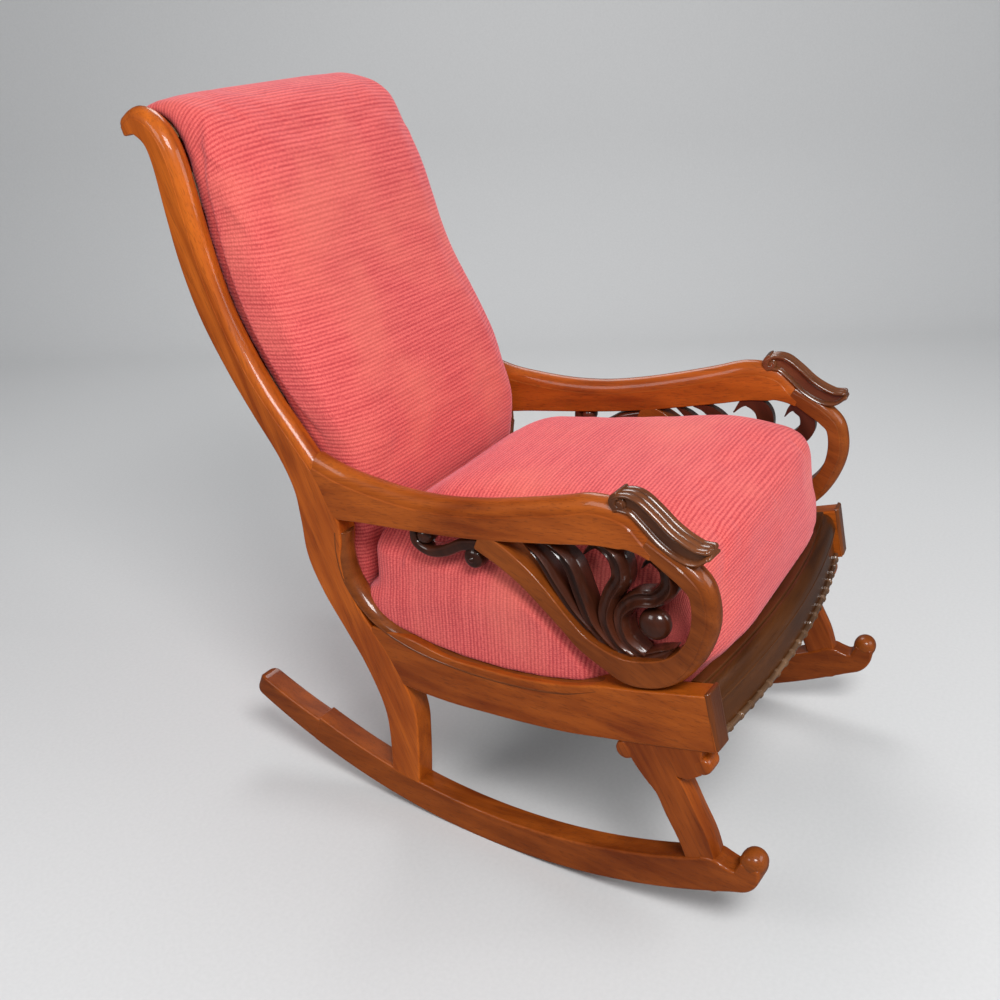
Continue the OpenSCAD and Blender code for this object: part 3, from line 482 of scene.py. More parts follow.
def ribbed_cloth(name, deep, ridge, pale, rib_pitch=0.0056, tuft_pitch=0.0031):
    """Ribbed pile: ribs across the weave's first coordinate, tufts along its second."""
    material, g, shader = blank(name)
    weave = g.add("Attribute", {"attribute_name": "weave"}).outputs["Vector"]
    at = g.add("TexCoord").outputs["Object"]
    wander = g.times(g.noise(g.scaled(at, (30, 30, 30)), 2.0), 1.4)
    part = g.add("SeparateXYZ", i0=weave)
    turn = g.plus(g.times(part.outputs[0], 2 * pi / rib_pitch), wander)
    rib = g.fitted(g.math("SINE", turn))
    row = g.math("FLOOR", g.math("DIVIDE", turn, 2 * pi))
    tuft_at = g.plus(g.times(part.outputs[1], 2 * pi / tuft_pitch), g.times(row, 2.6))
    tuft = g.fitted(g.math("SINE", tuft_at))
    speck = g.noise(g.scaled(weave, (260, 420, 300)), 2.0, 0.6)
    streak = g.noise(g.scaled(weave, (170, 9, 20)), 3.0, 0.6)
    nap = g.noise(g.scaled(at, (6, 6, 6)), 3.0)
    height = g.times(g.math("POWER", rib, 0.7), g.fitted(tuft, 0.45, 0.55))
    # Tone follows the rib and tuft height, so the hollows between them are darker: painted shade.
    tone = g.plus(g.times(height, 0.80), g.range(speck, 0.3, 0.7, -0.2, 0.35))
    tone = g.plus(tone, g.range(streak, 0.35, 0.65, -0.1, 0.15))
    tone = g.add("Clamp", i0=tone).outputs[0]
    colour = g.mix(tone, deep + (1,), ridge + (1,))
    colour = g.mix(g.range(nap, 0.45, 0.75, 0.0, 0.35), colour, pale + (1,))
    g.join(colour, shader.inputs["Base Color"])
    rough = g.add("Bump", Height=g.plus(height, g.times(speck, 0.4)), Strength=0.55,
                  Distance=0.0009)
    g.join(rough.outputs[0], shader.inputs["Normal"])
    fixed(shader, Roughness=0.88, Specular_IOR_Level=0.2, Sheen_Weight=0.35,
          Sheen_Roughness=0.45, Sheen_Tint=(1.0, 0.45, 0.55, 1))
    return material


GRAIN, WEAVE = grain_group(), weave_group()
# The stile's timber is lighter than the rail's and arm's: painted light on the stile's lit side.
LIT_STILE_WOOD = wood("stile timber", (0.230, 0.036, 0.003), (0.540, 0.120, 0.010), lean=68)
ARM_WOOD = wood("arm timber", (0.190, 0.032, 0.003), (0.420, 0.092, 0.009), lean=-6)
RAIL_WOOD = wood("rail timber", (0.190, 0.032, 0.003), (0.400, 0.088, 0.007))
SCROLL_WOOD = wood("scroll timber", (0.115, 0.022, 0.003), (0.270, 0.062, 0.008), lean=25)
LIP_WOOD = wood("lip timber", (0.085, 0.018, 0.003), (0.215, 0.052, 0.008), lean=-4,
                coat=0.6)
# Leg and runner timbers are darker than the rail's: painted shade where the light falls off
# towards the floor.
SHADED_LEG_WOOD = wood("leg timber", (0.165, 0.028, 0.003), (0.355, 0.076, 0.007), lean=60)
SHADED_RUNNER_WOOD = wood("runner timber", (0.150, 0.026, 0.003), (0.325, 0.070, 0.007))
CARVED_WOOD = wood("carved timber", (0.024, 0.006, 0.003), (0.085, 0.020, 0.008), lean=60,
                   coat=1.0, rough_coat=0.12)
# Cap timber is paler and greyer than the other timbers: painted reflection on the reeds.
CAP_WOOD = wood("cap timber", (0.060, 0.018, 0.007), (0.190, 0.058, 0.018), lean=30,
                coat=1.0, rough_coat=0.12)
FRONT_WOOD = wood("front timber", (0.032, 0.009, 0.002), (0.096, 0.029, 0.005), turn=90,
                  coat=0.45)
BLOCK_WOOD = wood("block timber", (0.074, 0.016, 0.003), (0.180, 0.046, 0.008), lean=78,
                  coat=0.7)
# Beading timber: a dark rod, pale where the rings' high share lifts it: painted highlight on the
# rings.
BEAD_WOOD = wood("beading timber", (0.034, 0.011, 0.003), (0.205, 0.110, 0.058), turn=90,
                 coat=1.0, rough_coat=0.12)
CLOTH = ribbed_cloth("ribbed cloth", (0.46, 0.046, 0.052), (0.84, 0.155, 0.138),
                     (0.82, 0.215, 0.145))

# Stile and rear leg: rounded in front down to the arm, square below it. FADE is the length over
# which one section turns into another.
FADE = 30.0
stile = curve(sized(STILE, STILE_W), 9)
bare = np.clip((0.475 * FRAME_H - stile[:, 1]) / FADE + 0.5, 0, 1)[:, None, None]
nosed = section(FRAME_T, (13, 17), (3, 3), quirk=0.9)
square = set_back(section(FRAME_T, (3, 3), (3, 3)), 2)
both_sides("stile_and_leg", [swept(stile, (1 - bare) * nosed + bare * square, (7, 0.5))],
           LIT_STILE_WOOD, "show_wood", ["stile"])

# Side rail up to the end block, set back under the lip, and the lip, which sinks in at its end
RAIL_END, LIP_R = 9.0, 8.0
rail = curve(sized(RAIL, RAIL_W), 9)
rail = rail[rail[:, 0] > RAIL_END]
ending = np.clip((0.19 * FRAME_D - rail[:, 0]) / FADE, 0, 1)[:, None, None]
square = section(33.4, (3, 3), (3, 3))
both_sides("side_rail_board", [
    swept(rail, ending * square + (1 - ending) * set_back(square, 2), (0.5, 0.5))],
    RAIL_WOOD, "show_wood", ["side_rail"])
lip = curve(LIP, 8)
taper = np.interp(along(lip), [0, 0.85, 1], [1, 1, 0.3])
lip = np.column_stack([lip + normals(lip) * LIP_R * taper[:, None], 2 * LIP_R * taper])
sunk = np.interp(along(lip), [0.86, 1], [0, 1])[:, None, None]
both_sides("side_lip", [
    swept(lip, (1 - sunk) * section(34.6, (13, 17.2), (1, 1), quirk=0.8)
          + sunk * section(32.6, (6, 12), (1, 1)), (1, 1))],
    LIP_WOOD, "show_wood", ["side_rail"])

# Arm rail
arm = curve(sized(ARM, ARM_W), 9)
both_sides("arm_board", [
    swept(arm, section(33.6, (19, 15.2), (2.5, 2.5), quirk=1.6), (0.5, 4))],
    ARM_WOOD, "show_wood", ["arm_rail"])

# Scroll that carries the arm, and its tail under the arm
scroll = curve(sized(SCROLL, SCROLL_W), 9)
heavy = np.interp(along(scroll), [0, 0.30, 0.45, 1], [1, 1, 0, 0])[:, None, None]
both_sides("arm_scroll_board", [
    swept(scroll, heavy * section(33.3, (11, 15), (2, 2), quirk=1.3)
          + (1 - heavy) * section(33.3, (3, 3), (2, 2)), (1, 3))],
    SCROLL_WOOD, "show_wood", ["arm_scroll"])
tail = curve(sized(TAIL, SCROLL_W), 8)
curl, ball = sized([(0.447, 0.478), (0.365, 0.465)])
both_sides("arm_tail", [
    swept(tail, section(27.0, (6, 8), (6, 8)), (1, 4)), knob(curl, 12.5, 15, 2.3),
    knob(ball, 15.0, 14.5, 3.2), knob(ball, 7.5, 17.0, 2.2)],
    CARVED_WOOD, "carved_wood", ["arm_scroll"])

# Reeded cap: its band runs up from the tip and rolls into a volute
volute = sized([(0.143, 0.593)])[0]
turns = np.linspace(80, -330, 60)
reach, depth = (np.interp(turns, [-330, 80], ends) for ends in ([-1.0, 9.5], [5, 11]))
roll = np.column_stack([volute[0] + reach * np.cos(np.radians(turns)),
                        volute[1] + reach * np.sin(np.radians(turns)), depth])
cap = curve(sized(CAP, CAP_T), 10)


def reeded(t, reed_h=3.4, reeds=3, n=13):
    """Cap's section: half-round reeds on top, a groove down each side and a bead below."""
    a = np.linspace(0, pi, n)
    # The fourth column peaks on each reed's crest and on the bead below: painted highlight there,
    # with some rubbing.
    top = [np.stack([np.full(n, 1.0), reed_h * (np.sin(a) - 1),
                     t / 2 - t / reeds * (k + 0.5 - np.cos(a) / 2), 0.3 + 0.7 * np.sin(a)], 1)
           for k in range(reeds)]
    down = np.array([(1.0, -5.0, t / 2 - 0.8, 0.6), (1.0, -7.0, t / 2 - 4.0, 0.0),
                     (0.3, 0.0, t / 2 - 6.0, 0.0), (-0.4, 0.0, t / 2 - 6.0, 0.0),
                     (-1.0, 6.4, t / 2 - 6.0, 0.0), (-1.0, 5.8, t / 2 - 3.0, 0.3),
                     (-1.0, 4.2, t / 2 - 0.8, 1.0), (-1.0, 2.4, t / 2 + 0.2, 1.0),
                     (-1.0, 0.3, t / 2 - 1.2, 0.6), (-1.0, 0.0, t / 2 - 4.0, 0.2)])
    return np.vstack([*top, down * [1, 1, -1, 1], down[::-1]])


both_sides("arm_cap_reeds", [
    swept(cap, reeded(31.0), (5, 3)), swept(roll, section(30.0, (3, 7), (1, 2)), (1, 1)),
    knob(volute, 9, 13.0, 6)], CAP_WOOD, "carved_wood", ["arm_cap"], sharp=50)


# Carved leaves: flat inside, a bead and a hollow outside, sinking at tip and root
def leaf(table, out, wide=1.0, low=2.0, inside=-13.0, n=17):
    """Leaf's relief over its width s = (a quarter, a bead exp(-((s + 0.45) / 0.33)^2) and a low
    edge exp(-((s - 0.85) / 0.25)^2)) times sqrt(1.02 - s^6), swelling by sin(pi share)^0.6 along
    the leaf."""
    path = curve(sized(table, LEAF_W * wide), 9)
    s = np.linspace(-1, 1, n)
    bead, edge = np.exp(-((s + 0.45) / 0.33) ** 2), np.exp(-((s - 0.85) / 0.25) ** 2)
    relief = (0.25 + 0.75 * bead + 0.38 * edge) * np.sqrt(np.clip(1.02 - s ** 6, 0, 1))
    share = along(path)
    swell = 0.35 + 0.65 * np.sin(pi * np.clip(share * 0.96 + 0.02, 0, 1)) ** 0.6
    path[:, 2] *= np.interp(share, [0, 0.12, 0.3, 1], [0.25, 0.8, 1, 1])
    rows = np.zeros((len(path), n + 2, 4))
    rows[:, :n, 0] = s
    rows[:, :n, 2] = low + (out - low) * swell[:, None] * relief
    rows[:, :n, 3] = relief
    rows[:, n:, 0] = [1, -1]
    rows[:, n:, 2] = inside
    return swept(path, rows, (2, 2))


leaves = [leaf(t, o, w) for t, o, w in zip(LEAVES, (12, 15, 16, 16), (1.15, 1.25, 1.25, 1.2))]
boss = sized([(0.0975, 0.440)])[0]
both_sides("arm_leaves", leaves + [knob(boss, 20.5, 15.5, 2.1), leaf(SPUR, 13)],
           CARVED_WOOD, "carved_wood", ["arm_carving"], sharp=60)

# Front block, leg and its cusped knee
front_point = sized([(0.016, 0.332)])[0]
forward = np.array([-cos(FRONT_TILT), sin(FRONT_TILT)])
upward = np.array([sin(FRONT_TILT), cos(FRONT_TILT)])
BLOCK_D, BLOCK_HALF_H, BLOCK_FORWARD = 5.5, 37.0, 6.0
rise = np.linspace(-BLOCK_HALF_H, BLOCK_HALF_H, 12)[:, None]
block = np.column_stack([front_point + upward * rise + forward * BLOCK_FORWARD,
                         0 * rise + BLOCK_D])
both_sides("end_block", [swept(block, section(33.4, (1, 1), (5, 6)), (1, 3))],
           BLOCK_WOOD, "show_wood", ["front_block"])

leg = curve(sized(LEG, LEG_W), 8)
slope = np.interp(along(leg), [0, 0.22, 0.4, 1], [0, 0, 1, 1])[:, None, None]
chamfered = np.array([
    (1, 0, 12, 1), (1, -3, 15, 0), (-1, 0.6, 15, 0), (-1, 0, 14.6, 0.9), (-1, -1.8, 8, 0.4),
    (-1, -3.4, 1, 0.8), (-1, -3.4, -1, 0.8), (-1, -1.8, -8, 0.4), (-1, 0, -14.6, 0.9),
    (-1, 0.6, -15, 0), (1, -3, -15, 0), (1, 0, -12, 1)], float)
blunt = chamfered.copy()
blunt[2:10, 1] += [2, 2, 3.8, 5.4, 5.4, 3.8, 2, 2]
rear_cusp, front_cusp = sized([(0.1325, 0.2485), (0.022, 0.263)])
both_sides("front_leg_post", [
    swept(leg, slope * chamfered + (1 - slope) * blunt, (0.5, 0.5)),
    board(sized(KNEE), 30.2, 2.5), knob(rear_cusp, 13.8, 15.6, 5),
    knob(front_cusp, 12.4, 15.6, 5)], SHADED_LEG_WOOD, "show_wood", ["front_leg"])

# Runner: one arc below, a step near its rear end, a hollow and a knob in front
contact, step, rear = 0.373 * FRAME_D, 0.696 * FRAME_D, 0.808 * FRAME_D


def runner_line(u, w):
    """Places on the circle of radius RUNNER_R - w round the runner's middle."""
    drop = np.sqrt((RUNNER_R - w) ** 2 - (u - contact) ** 2)
    return np.stack([u, RUNNER_R - WEAR_D - drop], -1)


def bow(u0, u1, w0, w1, count=40):
    """Stretch of the runner between two places, its width changing from w0 to w1."""
    u, w = np.linspace(u0, u1, count), np.linspace(w0, w1, count)
    return np.column_stack([runner_line(u, w / 2), w])


nose = curve([(10, 96.5, 53), (-2, 99.5, 52), (-14, 100.4, 43), (-27, 102, 34), (-38, 106, 32),
              (-44, 114, 32), (-47, 123, 31), (-48, 131, 27)], 6)
scroll_mid = sized([(-0.0510, 0.1350)])[0]
both_sides("runner_bow", [
    swept(bow(0, step, RUNNER_W, RUNNER_W, 60), section(34.8, (3.5, 3.5), (3.5, 3.5)), (1, 1)),
    swept(bow(step - 8, rear, 0.9 * RUNNER_W, 0.72 * RUNNER_W, 16),
          section(34.4, (4, 4), (4, 4)), (1, 16)),
    swept(nose, section(34.6, (4, 4), (4, 4)), (1, 3))],
    SHADED_RUNNER_WOOD, "show_wood", ["runner"], floor=True)
both_sides("runner_knob", [knob(scroll_mid, 17.2, 17.8, 2.4)], SCROLL_WOOD, "show_wood",
           ["runner"])

# Front rail: sections carried round one bow
front_at = upright(front_point)
bow_r = (half_gap(0, WIDTH_Z) ** 2 + BOW_RISE ** 2) / (2 * BOW_RISE)


def bowed(rows, count, trim=0.0):
    """Closed section of (forward, up, rubbing and painted highlight) rows carried round the bow
    and
    tilted: x = R sin a, forward = bow radius - R cos a, where R is the bow's radius plus the row's
    forward."""
    rows = np.broadcast_to(rows, (count,) + np.shape(rows)[-2:])
    reach = half_gap(front_at[0], front_at[1]) + 3 - trim
    a = np.linspace(-1, 1, count)[:, None] * asin(reach / bow_r)
    r = bow_r + rows[..., 0]
    y, z = bow_r - BOW_FRONT - r * np.cos(a), rows[..., 1]
    c, s = cos(FRONT_TILT), sin(FRONT_TILT)
    place = np.stack([r * np.sin(a), front_at[0] + y * c + z * s, front_at[1] - y * s + z * c], -1)
    return np.concatenate([chair(place), rows[..., 2:3]], -1)


def front_piece(name, grid, node, material=FRONT_WOOD, slot="show_wood"):
    """Piece of one skin carried round the bow."""
    obj = piece(name, [(grid[..., :3].reshape(-1, 3), grid[..., 3].ravel(), skin(grid))],
                material, slot, sharp=40)
    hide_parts(node)


# Third column lightens the apron's front, the bead under the cove and the roll above it: painted
# highlight, with some rubbing.
apron = np.array([(-25, -33, 0), (-25, 7, 0), (-1, 7, 0), (0, 6, 0.6), (0, -32, 0.6),
                  (-1, -33, 1)], float)
front_piece("front_apron", bowed(apron, 60), "front_rail")
a = np.linspace(0, pi / 2, 12)
cove = np.stack([5.4 - 14.8 * (1 - np.cos(a)), 11.2 + 22.2 * np.sin(a), 0.1 + 0 * a], 1)
lower = np.array([(-25, 7, 0), (4.2, 7, 0.4), (6.2, 8.4, 1), (6.2, 10.4, 1)], float)
upper = np.array([(-9.0, 34.6, 0.8), (-9.6, 36.2, 1), (-11.2, 37, 1), (-25, 37, 0)], float)
front_piece("front_cove", bowed(np.vstack([lower, cove, upper]), 60), "front_moulding")

# Beading, a thin rod with pairs of rings: radius = the larger of ROD_R and RING_R
# exp(-((|s| - 0.06) / 0.034)^4), with s from -0.5 to 0.5 in each of its periods
PERIODS, ROD_R, RING_R, BEAD_FORWARD, BEAD_UP = 19, 4.0, 5.7, 1.6, -35.5
count = PERIODS * 26
t = np.linspace(-0.5, 0.5, count) * PERIODS * 1.02
off = (t + 0.5) % 1.0 - 0.5
ring = np.exp(-((np.abs(off) - 0.060) / 0.034) ** 4)[:, None]
radius = np.maximum(ROD_R, RING_R * ring)
a = np.linspace(0, 2 * pi, 14, endpoint=False)
# Rings take a share of 1.6 and so the pale colour: painted highlight on the rings.
rows = np.stack([BEAD_FORWARD + radius * np.cos(a), BEAD_UP + radius * np.sin(a),
                 (ring > 0.5) * 1.6 + 0 * a], -1)
front_piece("front_reels", bowed(rows, count, trim=4), "front_beading", BEAD_WOOD,
            "carved_wood")


# Upholstery
def swollen(name, rings, hold, cap, voxel=0.007, pressure=4.0, frames=20):
    """Stuffed form: remeshed evenly, blown up by a cloth simulation while hold says what is
    tacked down, each point moved at most cap, and then evened out."""
    mesh = bpy.data.meshes.new(name)
    mesh.from_pydata(chair(rings).reshape(-1, 3).tolist(), [], skin(rings))
    obj = bpy.data.objects.new(name, mesh)
    bpy.context.scene.collection.objects.link(obj)
    remesh = obj.modifiers.new("even mesh", "REMESH")
    remesh.mode, remesh.voxel_size = "VOXEL", voxel
    settle(obj)
    smooth = obj.modifiers.new("ease", "SMOOTH")
    smooth.iterations, smooth.factor = 3, 0.5
    settle(obj)
    before = coords(obj)
    group = obj.vertex_groups.new(name="tacked")
    held = hold(before)
    for weight in (0.25, 0.5, 0.75, 1.0):
        chosen = np.flatnonzero(np.abs(np.ceil(held * 4) / 4 - weight) < 1e-6)
        group.add(chosen.tolist(), weight, "REPLACE")
    cloth = obj.modifiers.new("filling", "CLOTH")
    s = cloth.settings
    s.use_pressure, s.uniform_pressure_force = True, pressure
    s.effector_weights.gravity = 0.0
    s.vertex_group_mass = "tacked"
    s.quality = 5
    cloth.point_cache.frame_end = frames
    scene = bpy.context.scene
    for f in range(1, frames + 1):
        scene.frame_set(f)
    settle(obj)
    scene.frame_set(1)
    move = coords(obj) - before
    outward = np.zeros(before.size)
    obj.data.vertices.foreach_get("normal", outward)
    outward = outward.reshape(-1, 3)
    move -= outward * np.minimum((move * outward).sum(1), 0)[:, None]
    size = np.linalg.norm(move, axis=1)[:, None]
    move *= np.minimum(1, cap / np.maximum(size, 1e-9)) * (1 - held)[:, None]
    obj.data.vertices.foreach_set("co", (before + move).astype(np.float32).ravel())
    smooth = obj.modifiers.new("ease", "SMOOTH")
    smooth.iterations, smooth.factor = 11, 0.5
    finer = obj.modifiers.new("finer", "SUBSURF")
    finer.levels = finer.render_levels = 1
    settle(obj)
    obj.data.shade_smooth()
    obj.data.materials.append(CLOTH)
    return obj


def settle(obj):
    """Applies the object's modifiers to its mesh."""
    bpy.context.view_layer.update()
    held = obj.evaluated_get(bpy.context.evaluated_depsgraph_get())
    made = bpy.data.meshes.new_from_object(held)
    obj.modifiers.clear()
    old, obj.data = obj.data, made
    bpy.data.meshes.remove(old)


def coords(obj):
    """The mesh's vertices as rows."""
    co = np.zeros(len(obj.data.vertices) * 3)
    obj.data.vertices.foreach_get("co", co)
    return co.reshape(-1, 3)


def woven(obj, first, second):
    """Gives a piece its weave: distance across the ribs and distance along them, in metres."""
    weave = obj.data.attributes.new("weave", "FLOAT_VECTOR", "POINT")
    weave.data.foreach_set("vector", np.stack([first, second, 0 * first], 1)
                           .astype(np.float32).ravel())


def ramp(x, low, high):
    """Smooth step from 0 at low to 1 at high: t^2 (3 - 2t)."""
    t = np.clip((x - low) / (high - low), 0, 1)
    return t * t * (3 - 2 * t)


def power(v, e):
    """Size of v to the power e, with the sign of v."""
    return np.sign(v) * np.abs(v) ** e


def from_side(co):
    """Millimetres from the side frames in to each point."""
    return half_gap(co[:, 1] * 1000 + MIDDLE_Y, co[:, 2] * 1000) - np.abs(co[:, 0]) * 1000


def around(co, deep):
    """Distance round a box-like form: across its front, and on down its sides."""
    return co[:, 0] + np.sign(co[:, 0]) * deep


# Back pad: each ring runs from the webbing round the sides to the front
REAR_OUT = 6.5
back_path = [(0.921, 0.960, 0.5)] + STILE[:14] + [(0.600, 0.327, 1.14)]
back_path = curve(sized(back_path, STILE_W), 6)
back_rear = upright(back_path[:, :2] - normals(back_path) * REAR_OUT)
back_front = upright(curve(sized(BACK_FRONT), 6))


def back_rings(count=61, draw=1.0, gap=0.3):
    """Ring k: place = rear + (front - rear) sin(a)^e, x = half the gap times cos(a)^e, where e
    is low at the top and bottom and higher between, so that the sides round off there."""
    a = np.linspace(0, pi, count)
    soft = np.sin(pi * np.linspace(0.08, 1, len(back_rear)))[:, None] ** 1.5
    run = back_front - back_rear
    far = np.linalg.norm(run, axis=1)[:, None]
    front = back_rear + run * (1 - draw / np.maximum(far, 1))
    forth = np.sin(a)[None] ** (0.28 + 0.05 * soft)
    p = back_rear[:, None] + (front - back_rear)[:, None] * forth[..., None]
    x = (half_gap(p[..., 0], p[..., 1]) - gap) * power(np.cos(a)[None], 0.22 + 0.08 * soft)
    return np.concatenate([x[..., None], p], -1)


line_from, line_to = (chair(np.insert(p, 0, 0, 1))[:, 1:] for p in (back_rear, back_front))


def back_run(co):
    """Distance down the back of each point, between the lines from webbing to front, and how
    far it stands from the webbing (0) to the front (1)."""
    d = line_to - line_from
    side = (d[None, :, 0] * (co[:, None, 2] - line_from[None, :, 1])
            - d[None, :, 1] * (co[:, None, 1] - line_from[None, :, 0])) / np.linalg.norm(d, axis=1)
    k = np.clip((side > 0).sum(1) if side[:, 0].mean() > side[:, -1].mean() else
                (side < 0).sum(1), 1, len(d) - 1)
    rows = np.arange(len(co))
    near, far = side[rows, k - 1], side[rows, k]
    t = np.clip(near / np.where(np.abs(near - far) < 1e-9, 1e-9, near - far), 0, 1)
    middle = line_from * 0.35 + line_to * 0.65
    s = np.concatenate([[0], np.cumsum(np.linalg.norm(np.diff(middle, axis=0), axis=1))])
    start = line_from[k - 1] + (line_from[k] - line_from[k - 1]) * t[:, None]
    run = d[k - 1] + (d[k] - d[k - 1]) * t[:, None]
    forth = ((co[:, 1:] - start) * run).sum(1) / (run ** 2).sum(1)
    return s[k - 1] + (s[k] - s[k - 1]) * t, forth


back = swollen("back_cushion", back_rings(),
               lambda co: np.clip(1.2 - back_run(co)[1] * 3, 0, 1), 0.007)


def over_stile(co, most=9.0):
    """Cover eased out over the stiles' rounded edge: out by most, times ramps that start just
    below the edge's crown, fade above the arm and stay near the side."""
    down, forth = back_run(co)
    s = np.linspace(0, down.max(), len(back_path))
    deep = np.linalg.norm(back_front - back_rear, axis=1)
    above = (forth * np.interp(down, s, deep) - REAR_OUT
             - np.interp(down, s, back_path[:, 2]) / 2)
    share = ramp(above, -7, 4) * ramp(co[:, 2], 0.548, 0.610) * ramp(from_side(co), 45, 8)
    moved = co.copy()
    moved[:, 0] += np.sign(co[:, 0]) * share * most / 1000
    return moved


co = over_stile(coords(back))
back.data.vertices.foreach_set("co", co.astype(np.float32).ravel())
down, forth = back_run(coords(back))
woven(back, down, around(coords(back), (1 - np.clip(forth, 0, 1)) * 0.07))
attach(back, "root")
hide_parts("back_pad")

# Seat: outlines at rising heights, then a crowned top
SEAT_Z, SEAT_TILT = 289.609, radians(7)
# Well between the rails, the stuffing's overhang in front of it, and its clearances
WELL_FRONT, WELL_REAR, OVERHANG, BOW_IN, SIDE_GAP = 16.5, 515.5, 15.6, 26.3, 0.3
# Heights over the seat's plane: underside, tops of the rails, step under the back cushion and
# shoulders, and the crown's rise over them
BASE_Z, FRONT_TOP, REAR_TOP, SHOULDER, CROWN = 18.9, 75.25, 62.63, 183.9, 78.0
STEP_Z = REAR_TOP + 62
REAR_LOW, REAR_HIGH = 0.597 * FRAME_D, 0.567 * FRAME_D


def seat_world(y, z):
    """Place over the seat frame's plane, seen from the side."""
    return (y * cos(SEAT_TILT) + z * sin(SEAT_TILT),
            SEAT_Z - y * sin(SEAT_TILT) + z * cos(SEAT_TILT))


def seat_outline(z, draw=0.0, count=160):
    """Box-like outline: cos and sin of the angle to the power 0.2, bowed in front."""
    a = 2 * pi * (np.arange(count) + 0.5) / count
    cx, cy = power(np.cos(a), 0.2), power(np.sin(a), 0.2)
    front = WELL_FRONT if z < FRONT_TOP + 1.6 else WELL_FRONT - OVERHANG
    rear = (WELL_REAR if z < REAR_TOP + 1.6 else
            (REAR_LOW if z < STEP_Z else REAR_HIGH) - z * sin(SEAT_TILT))
    y0, y1 = front + BOW_IN + draw, rear - draw
    y = (y0 + y1) / 2 + cy * (y1 - y0) / 2 - np.maximum(-cy, 0) * BOW_RISE * (1 - cx * cx)
    wy, wz = seat_world(y, z)
    return np.stack([(half_gap(wy, wz) - SIDE_GAP - draw) * cx, y, np.full(count, z)], 1)


def seat_rings(draw=4.0):
    """Outlines up to the shoulders, then rings drawn in by cos(a)^(2/2.8) while they rise by
    sin(a)^(2/2.8) of the crown."""
    up = [seat_outline(z, d) for z, d in (
        (BASE_Z, 26), (BASE_Z + 3, 0), (REAR_TOP, 0), (REAR_TOP + 5, 0), (FRONT_TOP, 0),
        (FRONT_TOP + 5, 0), (STEP_Z - 2, 0), (STEP_Z + 2, 0), (130, draw), (157, draw))]
    top = seat_outline(SHOULDER, draw)
    middle = np.array([0, (WELL_FRONT - OVERHANG + REAR_HIGH) / 2, 0])
    a = np.radians(np.linspace(0, 88, 26))
    r, rise = np.cos(a) ** (2 / 2.8), np.sin(a) ** (2 / 2.8)
    dome = (top[None] * [1, 1, 0] - middle) * r[:, None, None] + middle
    dome[..., 2] = (SHOULDER + (CROWN - draw) * rise)[:, None]
    flat = np.concatenate([np.stack(up), dome])
    wy, wz = seat_world(flat[..., 1], flat[..., 2])
    return np.stack([flat[..., 0], wy, wz], -1)


def seat_hold(co):
    """Tacked along the rails: 1 below the rails' tops, easing to 0 some way above them."""
    y, z = co[:, 1] * 1000 + MIDDLE_Y, co[:, 2] * 1000
    z = (z - SEAT_Z) * cos(SEAT_TILT) + y * sin(SEAT_TILT)
    return np.clip((125 - z) / 45, 0, 1)


seat = swollen("seat_cushion", seat_rings(), seat_hold, 0.012)


def seat_run(co):
    """Distance across the ribs of the seat: depth on its top and sides, height on its front."""
    y, z = co[:, 1] * 1000 + MIDDLE_Y, co[:, 2] * 1000
    front = 45 + BOW_RISE * (co[:, 0] / 0.26) ** 2
    return (y + np.minimum(0, z - 505) * np.clip((front - y) / FADE + 0.5, 0, 1)) / 1000


def over_rail(co, most=23.0, rearward=12.0):
    """Cover brought out over the side rails: out by most, times ramps that fade it at the lip
    below, the scroll above, the leaves in front, the stile behind and away from the side. Its
    rear corners also move back."""
    y, z = co[:, 1] * 1000 + MIDDLE_Y, co[:, 2] * 1000
    v = WIDTH_Z + (z - WIDTH_Z) / cos(LEAN)
    u = (y - (v - WIDTH_Z) * sin(LEAN) * sin(TAPER)) / cos(TAPER)
    lip_v, roof = (np.interp(u, *np.transpose(sorted(line))) for line in (LIP, ROOF))
    over_lip = ramp(v, lip_v - 12, lip_v + 2)
    share = (over_lip * (1 - ramp(v, roof - 40, roof - 4)) * ramp(u, 150, 200)
             * (1 - ramp(u, 528, 564)) * ramp(from_side(co), 50, 12))
    moved = co.copy()
    moved[:, 0] += np.sign(co[:, 0]) * share * most / 1000
    moved[:, 1] += (over_lip * (1 - ramp(v, 420, 480)) * ramp(u, 440, 510)
                    * ramp(from_side(co), 90, 20)) * rearward / 1000
    return moved


co = over_rail(coords(seat))
seat.data.vertices.foreach_set("co", co.astype(np.float32).ravel())
woven(seat, seat_run(co), around(co, np.clip(0.5 - co[:, 2], 0, 0.3)))
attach(seat, "root")
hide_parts("seat_pad")


# Stretched cloths behind the back and under the seat
def stretched(name, sheet, thick, material, slot, node, weave=False):
    """Thin closed sheet: a grid and its copy one thickness further on."""
    n, m = sheet.shape[:2]
    front, rear_side = sheet.reshape(-1, 3), (sheet + thick).reshape(-1, 3)
    i = np.arange(n * m).reshape(n, m)
    quads = np.stack([i[:-1, :-1], i[1:, :-1], i[1:, 1:], i[:-1, 1:]], -1).reshape(-1, 4)
    rim = np.concatenate([i[0, :-1], i[:-1, -1], i[-1, :0:-1], i[:0:-1, 0]])
    walls = np.stack([rim, np.roll(rim, -1), np.roll(rim, -1) + n * m, rim + n * m], 1)
    faces = np.vstack([quads, quads[:, ::-1] + n * m, walls]).tolist()
    obj = piece(name, [(np.vstack([front, rear_side]), np.zeros(2 * n * m), faces)], material,
                slot, sharp=60, weighted=False)
    down = np.linalg.norm(sheet[1:, m // 2] - sheet[:-1, m // 2], axis=1).sum()
    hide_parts(node)
    if weave:
        s = np.linspace(0, down, n)[:, None] + 0 * sheet[..., 0]
        woven(obj, np.tile(s.ravel(), 2), np.tile(sheet[..., 0].ravel(), 2))


